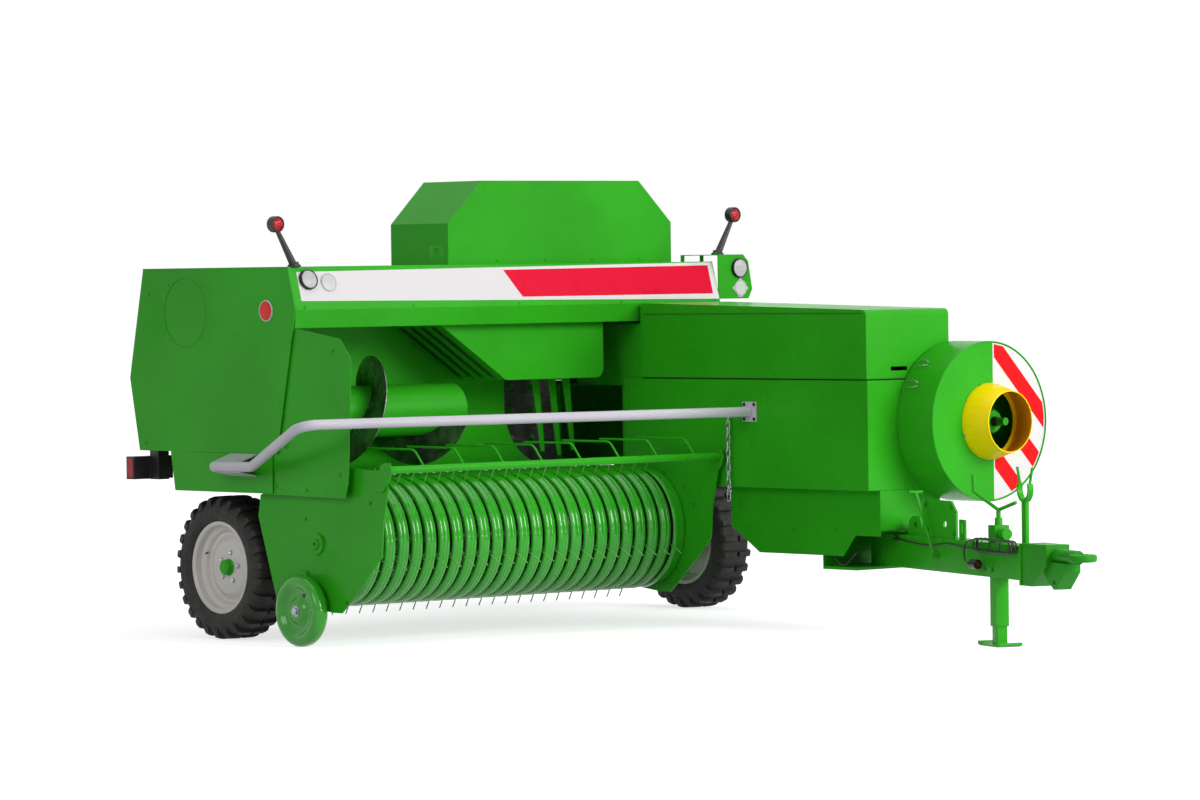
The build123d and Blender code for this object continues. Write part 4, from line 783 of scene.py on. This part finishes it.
# %% [markdown]
# The wind guard holds the hay down on the reel. A tube spans the pick-up and eight thin rods lean back from it
# over the tines, each bent once where it comes up.

# %% Wind guard
guard_y, guard_z = -1225, 785
rod_start, rod_pitch, rod_count = 227, 225, 8
guard_steps = [
    (bent_bar, [at(start, guard_y, guard_z), at(end, guard_y, guard_z)], radius, 0, sides)
    for start, end, radius, sides in ((22, 1938, 17, 24), (14, 1946, 8.5, 16))]
for index in range(rod_count):
    x = rod_start + rod_pitch * index
    guard_steps.append((bent_bar, [at(x, guard_y, guard_z), at(x, -1151, 868), at(x, -821, 868)], 5, 26, 10))
built("wind_guard_rods", green, "wind_guard", "green_paint", *guard_steps, covers=("wind_guard",), edge=1.0)
print("wind guard rods", rod_count)

# %% [markdown]
# The auger pushes the crop sideways to the press. A rolled tube carries one flight, a flat ring cut and pulled into
# a left-hand screw, and the crop keeps the flight's face polished and dark and its rim a little worn.

# %% Auger
auger_y, auger_z, tube_x, flight_x = -450, 1018, 3.3, 15.3
tube_profile = [(0, 0), (0, 112), (5, 117), (1005, 117), (1010, 112), (1010, 0)]
flight_turn, flight_start, flight_pitch, flight_steps = 11.07, 8.226, 500, 130


def add_flight(shape):
    """The flight's section of 5 mm sheet, carried round the tube."""
    rings = []
    for step in range(flight_steps + 1):
        turn = flight_turn * step / flight_steps
        x, angle = flight_x + flight_pitch * turn / (2 * pi), flight_start - turn
        worn = 250 - 0.75 * (1 + sin(turn * 6.3))
        section = ((0, 111), (0, worn), (2.5, worn + 0.6), (5, worn), (5, 111))
        rings.append([shape.verts.new(at(x + a, auger_y + r * cos(angle), auger_z + r * sin(angle)))
                      for a, r in section])
    skin(shape, rings)


built("auger_tube", green, "auger", "green_paint",
      (turned, tube_profile, at(tube_x, auger_y, auger_z), left, 64), covers=("auger",))
built("auger_flight", flight_steel, "auger", "dark_steel", (add_flight,), angle=45)
print("auger flight turns", round(flight_turn / (2 * pi), 2))

# %% [markdown]
# The road wheels are farm tyres on stepped silver rims. The casing is a turned shape with a raised ring on its
# side wall, and the tread is two rows of 26 lugs standing half a pitch apart. Each rim is held by five nuts and has
# a green hub cap and a valve.

# %% Road wheels
tyre_profile = mirrored([
    (-70, 193), (-73, 202), (-76, 208), (-84, 213), (-91, 225), (-92.5, 231), (-95.5, 234), (-95.5, 239),
    (-94.5, 243), (-97.5, 256), (-97, 266), (-93, 278), (-87, 288), (-79, 297), (-68, 303), (-40, 306), (0, 307),
], 0) + [(-70, 193)]
rim_profile = [
    (-26, 0), (-26, 62), (-23, 92), (-28, 110), (-27, 120), (-18, 132), (-11, 147), (-14, 160), (-31, 167),
    (-43, 186), (-71, 189), (-77, 195), (-77.5, 207), (-73, 211), (-70, 206), (-69, 195), (-42, 192), (-28, 171),
    (16, 170), (28, 193), (69, 195), (70, 206), (73, 211), (77.5, 207), (77, 195), (71, 189), (31, 188),
    (18, 166), (-6, 162), (-6, 146), (-20, 116), (-20, 0),
]
hub_profile = [(-20, 0), (-20, 46), (60, 46), (60, 0)]
cap_profile = [(-24, 0), (-24, 38), (-30, 38), (-33, 34), (-52, 33), (-57, 29), (-59, 18), (-59, 0)]
lug_side = [
    (8, 303), (8, 321.5), (12, 323.5), (64, 322.5), (83, 317), (94, 300), (97.5, 276), (91, 276), (84, 288),
    (66, 300),
]
lug_count, nut_count, nut_circle, hub_height = 26, 5, 0.065, 324


def add_lug(shape):
    """One tread lug of a half row above the wheel's centre, 24 mm wide and 30 mm at its foot."""
    skin(shape, [[shape.verts.new(Vector((a, way * (12 if r > 301 else 15), r)) * 0.001) for a, r in lug_side]
                 for way in (1, -1)])


lug = seed("tread_lug", (add_lug,))
bolt = seed(
    "hexagon_bolt",
    (turned, [(-100, 0), (-100, 1350), (180, 1350), (180, 0)], Vector(), above, 12),
    (turned, [(150, 0), (150, 1000), (720, 1000), (830, 860), (830, 0)], Vector(), above, 6))


def add_wheel(side, x, outward):
    """A tyre, its lugs and a dressed rim whose outside faces along X by a sign."""
    centre, axis, body = at(x, 0, hub_height), (-outward, 0, 0), "wheel_" + side
    built("tyre_casing_" + side, tyre_rubber, body, "tyre", (turned, tyre_profile, centre, axis, 96),
          covers=("tyre_" + side,), angle=50)
    lugs = [(centre, (2 * pi * (index + shift) / lug_count, 0, turn), 1.0)
            for index in range(lug_count) for shift, turn in ((0.25, 0), (0.75, pi))]
    copied("tyre_lugs_" + side, lug, lugs, tyre_rubber, body)
    built("rim_disc_" + side, silver, body, "silver_paint", (turned, rim_profile, centre, axis, 96),
          (turned, hub_profile, centre, axis, 32), covers=("rim_" + side,), angle=32)
    built("hub_cap_" + side, green, body, "green_paint", (turned, cap_profile, centre, axis, 40))
    nuts = [(centre + Vector((outward * 0.026, nut_circle * cos(angle), nut_circle * sin(angle))),
             facing((outward, 0, 0)), 0.010) for angle in around(nut_count, 0.5)]
    copied("wheel_nuts_" + side, bolt, nuts, bright_steel, body)
    start = centre + Vector((outward * 0.030, 0.150, 0.062))
    end = start + Vector((outward * 0.022, -0.012, -0.004))
    built("tyre_valve_" + side, black_plastic, body, "black_rubber", (bent_bar, [start, end], 4, 0, 10))


add_wheel("right", 98, -1)
add_wheel("left", 2879, 1)
print("two road wheels")

# %% [markdown]
# The gauge wheel that carries the pick-up is two pressed steel dishes welded together and painted green, which
# gives its thick rounded rim around a hollow face.

# %% Gauge wheel
gauge_profile = [
    (-25, 13), (-29, 13), (-30, 42), (-26, 50), (-17, 58), (-13, 72), (-14, 88), (-20, 99), (-28, 107),
    (-34, 114), (-37.3, 122), (-37.8, 130), (-36, 139), (-31, 147.5), (-24, 153.5), (-15, 157), (-6, 157.9),
    (8, 157.9), (18, 156), (29, 149.5), (36, 139), (37.5, 128), (37, 110), (30, 60), (30, 13), (-25, 13),
]
gauge_hub = at(-35, -670, 158)
built("gauge_wheel_pressed", glossy_green, "gauge_wheel", "green_paint",
      (turned, gauge_profile, gauge_hub, left, 72), covers=("gauge_wheel",), angle=50)
built("gauge_wheel_nut", zinc, "gauge_wheel", "galvanised",
      (turned, [(-30, 0), (-30, 17), (-42, 17), (-44, 15), (-44, 0)], gauge_hub, left, 6),
      (turned, [(-28, 0), (-28, 24), (-32, 24), (-32, 0)], gauge_hub, left, 24))
# A black disc in the face stands for the hole: painted shade where the hollow wheel is dark inside.
built("gauge_wheel_hole", black_plastic, "gauge_wheel", "black_plastic",
      (turned, [(-15.5, 0), (-15.5, 9), (-12, 9), (-12, 0)], at(-35, -706, 228), left, 24))
print("gauge wheel")

# %% [markdown]
# Front lamps sit in pressed rings: a clear lamp and a white reflector on each side of the beam. A round red
# reflector looks sideways. The marker lamps stand on tapered rubber arms and show a red lens to the front and
# another to the rear, so that a driver sees how wide the machine is.

# %% Lamps
lean = radians(15.6)
beam_out = Vector((0, -cos(lean), sin(lean)))
marker_y, marker_reach = -593, 100
markers = ((12, 1672, -1), (2520, 1704, 1))
marker_foot = [(0, 0), (0, 30), (6, 30), (12, 22), (22, 19), (22, 0)]
marker_half = [(-16, 0), (-16, 28), (-21, 30), (-21, 33), (-17, 36)]
marker_case = marker_half + [(-a, r) for a, r in reversed(marker_half)]
marker_dome = [(12, 0), (12, 27.5), (19, 27), (23, 20), (25.4, 10), (26, 0)]
rear_cells = ((6, 74, red_lens), (80, 142, red_lens), (148, 214, amber_lens))


def on_beam(x, z):
    """A place on the beam's leaning front."""
    return at(x, -653 + (z - 1482) * tan(lean), z)


def on_machine(name, glass, *steps, **options):
    """A piece of lamp plastic on the machine's body."""
    return built(name, glass, "machine", "lamp_plastic", *steps, **options)


def add_lamp(name, place, outward, radius, depth, glass, rim_finish):
    """A ring with a domed lens, standing on a face."""
    ring = [(0, 0), (0, radius), (depth * 0.6, radius), (depth * 0.85, radius - 1.5), (depth * 0.9, radius - 4),
            (depth * 0.7, radius - 5.5), (depth * 0.3, radius - 6), (depth * 0.3, 0)]
    dome = [(depth * 0.2, 0), (depth * 0.2, radius - 5.6), (depth * 0.75, radius - 6.2),
            (depth * 0.92, radius * 0.6), (depth * 0.99, radius * 0.25), (depth, 0)]
    built(name + "_ring", rim_finish, "machine", "silver_paint", (turned, ring, place, outward))
    return on_machine(name + "_lens", glass, (turned, dome, place, outward))


first_lens = add_lamp("beam_lamp", on_beam(66, 1612), beam_out, 46, 20, clear_lens, black_plastic)
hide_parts("front_lamps")
add_lamp("beam_reflector", on_beam(180, 1600), beam_out, 42, 8, white_lens, white_lens)
add_lamp("plate_lamp", at(2610, -641.3, 1640), ahead, 46, 18, clear_lens, black_plastic)
add_lamp("plate_reflector", at(2618, -641.3, 1546), ahead, 38, 8, white_lens, white_lens)
diamond = [at(2618 + a, -641.2, 1546 + b) for a, b in ((0, 47), (-50, 0), (-12, -42), (12, -42), (50, 0))]
on_machine("reflector_plate", white_lens, (plate, diamond, ahead * 0.0025))
add_lamp("side_reflector", at(-30.3, -442, 1478), -left, 48, 8, amber_lens, white_lens)
stalk_steps = []
for x, z, way in markers:
    foot, head = at(x, marker_y, z), at(x + marker_reach * way, marker_y, z + 175)
    stalk_steps += [
        (turned, marker_foot, foot, above, 32), (bent_bar, [foot, (foot + head) / 2, head], 17.5, 0, 20, 0.55),
        (turned, marker_case, head + above * 0.012, -ahead, 40)]
built("marker_stalks", black_plastic, "machine", "black_plastic", *stalk_steps,
      covers=("marker_lamps",), edge=1.0)
for index, (x, z, way) in enumerate(markers):
    centre = at(x + marker_reach * way, marker_y, z + 187)
    for word, outward in (("front", ahead), ("rear", -ahead)):
        on_machine(f"marker_lens_{word}_{index}", red_lens, (turned, marker_dome, centre, outward, 32))
for x, end_x, way in ((-60, -59.5, -1), (2480, 2699.5, 1)):
    for start, end, glass in rear_cells:
        corners = [at(x + a, 593.5, b) for a, b in ((start, 720), (end, 720), (end, 810), (start, 810))]
        on_machine(f"rear_lens_{x + 60}_{start}", glass, (plate, corners, ahead * -0.004), edge=1.2)
    corners = [at(end_x, a, b) for a, b in ((541, 722), (587, 722), (587, 808), (541, 808))]
    on_machine(f"side_lens_{x + 60}", red_lens, (plate, corners, left * (way * 0.003)), edge=1.0)
print("lamps placed")

# %% [markdown]
# A short chain holds the pick-up's end at the box. Its links are bent from wire and welded, and hang turned a
# quarter against each other.

# %% Chain
link_route = [
    Vector((0, 8.5 * cos(angle), shift + 8.5 * sin(angle))) * 0.001
    for start, shift in ((0, 11.5), (pi, -11.5)) for angle in [start + pi * step / 7 for step in range(8)]]
chain_x, chain_y, link_pitch, link_count = 1945, -1290, 32.7, 11
links = [(at(chain_x, chain_y, 928 - link_pitch * i), (0, 0.06 * (-1) ** i, (i % 2) * pi / 2 + 0.35), 1.0)
         for i in range(link_count)]
copied("pickup_chain_links", seed("chain_link", (bent_bar, link_route, 3.0, 0, 6, 1.0, True)), links, zinc,
       "machine", ("pickup_chain",), 60)
hook_route = [at(x, chain_y, z) for x, z in ((1969, 960), (chain_x, 960), (chain_x, 936))]
built("chain_hook", zinc, "machine", "galvanised", (bent_bar, hook_route, 4, 10))
print("chain links", link_count)

# %% [markdown]
# The flywheel's drum is rolled sheet with a wired rim. Round the drive shaft sits a yellow guard held by screws,
# and in it the shaft's end with its clamp bolts can be seen. The guard's orange inside is painted shade, its yellow
# darkened in the hollow. Two wire clips hold the drum's cover.

# %% Drum rim, guard and shaft end
drum_x, drum_z = 2505, 942
drum_front, drum_middle = at(drum_x, -2407.3, drum_z), at(drum_x, -2200, drum_z)
bead = [(-1 + 4 * cos(angle), 355.5 + 2.4 * sin(angle)) for angle in around(10, closed=True)]
shade_liner_profile = [(-1, 150), (-1, 168.5), (-131, 134.5), (-131, 133), (-3, 166), (-3, 150), (-1, 150)]
mouth_profile = [(-131, 134), (-133, 134), (-133, 138), (-131, 139.5), (-128, 139.5), (-128, 134), (-131, 134)]
# The orange inside the guard is painted shade: the yellow, darkened where the guard is hollow.
guard_inside_painted_shade = enamel("guard_inside_painted_shade", "#f09c14", "#e08a0c", 0.5)
oily_steel = worn_metal("oily_shaft", "#5a463a", "#3c2f28", 0.42, 200)


def round_drum(degrees_round):
    """The direction outwards from the drum's axis."""
    return Vector((cos(radians(degrees_round)), 0, sin(radians(degrees_round))))


def on_drum(profile, steps):
    """The step that turns a profile about the drum's axis."""
    return turned, profile, drum_front, -ahead, steps


built("drum_rim_bead", green, "machine", "green_paint", on_drum(bead, 120),
      on_drum([(a + 216, r) for a, r in bead], 120), angle=60)
built("guard_liner", guard_inside_painted_shade, "machine", "yellow_plastic", on_drum(shade_liner_profile, 72))
built("guard_mouth_bead", yellow, "machine", "yellow_plastic", on_drum(mouth_profile, 72), angle=60)
screws = [(drum_front + out * 0.1685 + ahead * 0.007, facing(out + ahead * 0.26), 0.007)
          for out in map(round_drum, (20, 110, 200, 290))]
copied("guard_screws", bolt, screws, zinc, "machine")
built("shaft_end", oily_steel, "flywheel", "bare_steel",
      on_drum([(0, 0), (0, 26), (-22, 26), (-26, 22), (-60, 21), (-60, 0)], 32),
      on_drum([(-58, 0), (-58, 17.5), (-98, 17.5), (-102, 15), (-102, 0)], 18))
clamp_bolts = [(drum_front + out * 0.058 - ahead * 0.020, facing(ahead), 0.011)
               for out in map(round_drum, (45, 135, 225, 315))]
copied("shaft_bolts", bolt, clamp_bolts, green_cast, "flywheel")
clip_steps = []
for out in map(round_drum, (152, 134)):
    base = drum_middle + out * 0.362
    for half in (-0.018, 0.018):
        side = Vector((-out.z, 0, out.x)) * half
        middle, tip = base + side + ahead * 0.06 + out * 0.008, base + side * 0.35 + ahead * 0.085 + out * 0.002
        clip_steps.append((bent_bar, [base + side, middle, tip], 2.2, 10, 8))
built("drum_clips", zinc, "machine", "galvanised", *clip_steps)
print("drum dressed")

# %% [markdown]
# Bolts hold everything that is taken off for repair. They are the same hexagon head, copied to each place with its
# own size in millimetres and turned to face out of its plate.

# %% Bolts on the machine, the pick-up and the drawbar
panel_x, end_plate_x, pickup_x = -30.2, -21.2, 19.8


def bolted(name, entries, finish, body):
    """Bolts from (place, facing direction, head radius in millimetres)."""
    places = [(p, facing(way, 0.3 * i), size * 0.001) for i, (p, way, size) in enumerate(entries)]
    return copied(name, bolt, places, finish, body)


def in_row(x, size, *places):
    """Bolts that face the machine's right at an x, from (y, z) places."""
    return [(at(x, y, z), -left, size) for y, z in places]


bolted("tube_flange_bolts", in_row(1963.7, 6.5, (-1445, 955), (-1445, 1021), (-1379, 955), (-1379, 1021)),
       black_plastic, "machine")
bolted("skirt_bolts", in_row(2039.7, 6.5, (-1328, 461), (-1610, 461), (-1894, 461)), green, "machine")
panel_bolts = [(on_beam(x, 1492), beam_out, 5.5) for x in (25, 640, 1255, 1870, 2450)]
panel_bolts += in_row(panel_x, 6, (-560, 880), (-540, 1000), (-610, 1340), (480, 880), (440, 1560))
panel_bolts += in_row(end_plate_x, 6.5, (-900, 1300), (-940, 760), (-700, 690), (-480, 700))
panel_bolts += [(at(x, -300.2, 1690), ahead, 5) for x in (1415, 1705, 1995, 2285)]
bolted("panel_bolts", panel_bolts, green, "machine")
pickup_bolts = in_row(pickup_x, 6.5, (-523, 180), (-925, 200), (-1100, 640), (-640, 560))
pickup_bolts += in_row(pickup_x, 5.5, *[(reel_y + 46 * cos(a), reel_z + 46 * sin(a)) for a in (0.5, 2.6, 4.7)])
pickup_bolts += in_row(1933.8, 6.5, (-1000, 640), (-1060, 560), (-860, 700))
bolted("pickup_bolts", pickup_bolts, green_cast, "pickup")
bar_bolts = [(on_drawbar(s, -1534.2, u), bar_ahead, 9) for s in (-50, 50) for u in (294, 440)]
bar_places = [(-36.2, back, up, 9) for back, up in ((-545, 585), (-800, 585), (-560, 480), (-830, 470))]
bar_places += [(-50.2, back, up, 8) for back, up in ((-1165, 330), (-1235, 330), (-1180, 412))]
bar_bolts += [(on_drawbar(side, back, up), -bar_left, size) for side, back, up, size in bar_places]
bolted("drawbar_bolts", bar_bolts, green_cast, "drawbar")
boss_profile = [(0, 0), (0, 36), (4, 36), (7, 33), (9, 24), (20, 22), (22, 20), (22, 9), (12, 8), (12, 0)]
built("reel_bearing", green, "pickup", "green_paint", (turned, boss_profile, at(20, reel_y, reel_z), -left, 40))
print("bolts placed")

# %% [markdown]
# A raised ring pressed in the side panel stiffens it, and four rivets stand round it. A thin seam runs along the
# top of the panel where the deck is folded over. Thin black lines in the box's seams and dark strips along the
# slots for the feeder's fingers are painted shade for the gaps and the inside of the slots.

# %% Panel beads and seams
ring_y, ring_z = 165, 1471
ring_bead = [(1.2 * cos(angle), 157 + 2.2 * sin(angle)) for angle in around(6, closed=True)]
seam = [at(-31.2, y, z) for y, z in ((-600, 1664), (482, 1664), (482, 1671), (-600, 1671))]
front_bead = [at(-30.5, -599, 1668), at(-30.5, -650.5, 1482), at(-30.5, -505, 848)]
built("panel_beads", green, "machine", "green_paint", (turned, ring_bead, at(panel_x, ring_y, ring_z), left, 96),
      (plate, seam, left * 0.003), (bent_bar, front_bead, 2.6, 12, 8), angle=60)
rivets = in_row(
    panel_x, 3.6, *[(ring_y + 172 * cos(a), ring_z + 172 * sin(a)) for a in (0.78, 2.36, 3.92, 5.5)])
bolted("panel_rivets", rivets, green, "machine")
# Black lines in the box's seams: painted shade for the gaps between its panels.
seam_shade_ends = [
    ((1969.3, -2150, 1432), (1969.3, -690, 1432)), ((1969.3, -2150, 1139), (1969.3, -690, 1139)),
    ((1990, -2185.6, 1139), (2470, -2185.6, 1139))]
built("box_seams", black_plastic, "machine", "dark_steel",
      *[(bent_bar, [at(*start), at(*end)], 1.6, 0, 6) for start, end in seam_shade_ends], angle=60)
slope, out_of_slope = Vector((0.831, 0, -0.556)), Vector((-0.556, 0, -0.831))
# Dark strips along the feeder slots: painted shade for the shadow inside them.
slot_shade_steps = []
for y in (-491, -413, -335, -257):
    top = at(865, y, 1396) + out_of_slope * 0.0016
    corners = [top + slope * along - ahead * half for along, half in (
        (0.012, -0.012), (0.012, 0.012), (0.425, 0.012), (0.425, -0.012))]
    slot_shade_steps.append((plate, corners, out_of_slope * 0.0015))
built("slot_edging", black_plastic, "machine", "black_rubber", *slot_shade_steps)
print("beads and seams")

# %% [markdown]
# A lead for the lamps comes out below the box in a short loop, tied to the skirt. It is a fixed loom between two
# clips, and its own ends stay hidden behind the sheet. On the drawbar three ties hold the cable's hank, and the
# plug shows its collar and its seven contacts.

# %% Loom and clips at the box, ties on the hank
loom_route = [
    (2052, -1850, 372), (2050, -1876, 345), (2050, -1905, 312), (2050, -1930, 303), (2050, -1960, 315),
    (2050, -1988, 340), (2056, -2015, 365),
]
collar_profile = [(-1, 0), (-1, 21.5), (-9, 21.5), (-11, 19), (-11, 17), (2, 16), (2, 0)]
socket = on_drawbar(-88, -1162, 352)
copper = worn_metal("copper_contacts", "#b8763a", "#9b6230", 0.3, 600)
built("lamp_loom", cable_rubber, "machine", "black_rubber", (bent_bar, [at(*p) for p in loom_route], 4.5, 16, 10))
tie_steps = []
for back in (-1210, -1310, -1400):
    ring = [on_drawbar(-70 + 19 * cos(angle), back, 437 + 31.5 * sin(angle)) for angle in around(16)]
    tie_steps.append((bent_bar, ring, 1.8, 0, 6, 1.0, True))
hank_ties = built("hank_ties", black_plastic, "drawbar", "black_plastic", *tie_steps, angle=60)
plug_front = built("plug_collar", black_plastic, "drawbar", "black_plastic",
                   (turned, collar_profile, socket, -bar_ahead, 32))
spots = [socket + (bar_left * cos(angle) + above * sin(angle)) * 0.0095 for angle in around(6)] + [socket]
plug_pins = built("plug_pins", copper, "drawbar", "bare_steel",
                  *[(bent_bar, [spot, spot + bar_ahead * 0.012], 2.2, 0, 10) for spot in spots])
nodes["cable_plug"].data.materials.clear()
nodes["cable_plug"].data.materials.append(black_plastic)
print("loom, ties and plug")

# %% [markdown]
# A tapered rubber sleeve with grooves keeps the cable from kinking where it leaves its clip, and another one where
# it enters the plug. The cable is declared with its real length, so that it is tested as a lead and not as a shape.
# The cable rides with the drawbar, takes the place of the CAD run, hank and tail, and its length is measured once
# more.

# %% Lamp cable
def relief_sleeve(name, place, axis, length, collar=3):
    """A sleeve round the cable that tapers along an axis from its collar, in four ridges."""
    profile, cone = [(-1, 0), (-1, 9.0), (collar, 9.0)], length - collar
    for index in range(4):
        share = index / 4
        start, radius = collar + cone * share, 8.2 - 3.0 * share
        profile += [(start + 0.6, radius), (start + cone * 0.17, radius - 0.5), (start + cone * 0.2, 5.0 - share)]
    profile += [(length, 4.6), (length, 0)]
    return built(name, cable_rubber, "drawbar", "black_rubber", (turned, profile, place, axis, 24), angle=30)


exit_sleeve = relief_sleeve("cable_exit_sleeve", on_drawbar(*cable_route[0]), bar_ahead, 30)
plug_sleeve = relief_sleeve("cable_plug_sleeve", on_drawbar(*cable_end_route[-1]), -bar_ahead, 20)
lamp_cable.data.materials.append(cable_rubber)
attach(lamp_cable, "drawbar")
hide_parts("cable_run", "cable_hank", "cable_tail")
line_length(lamp_cable)
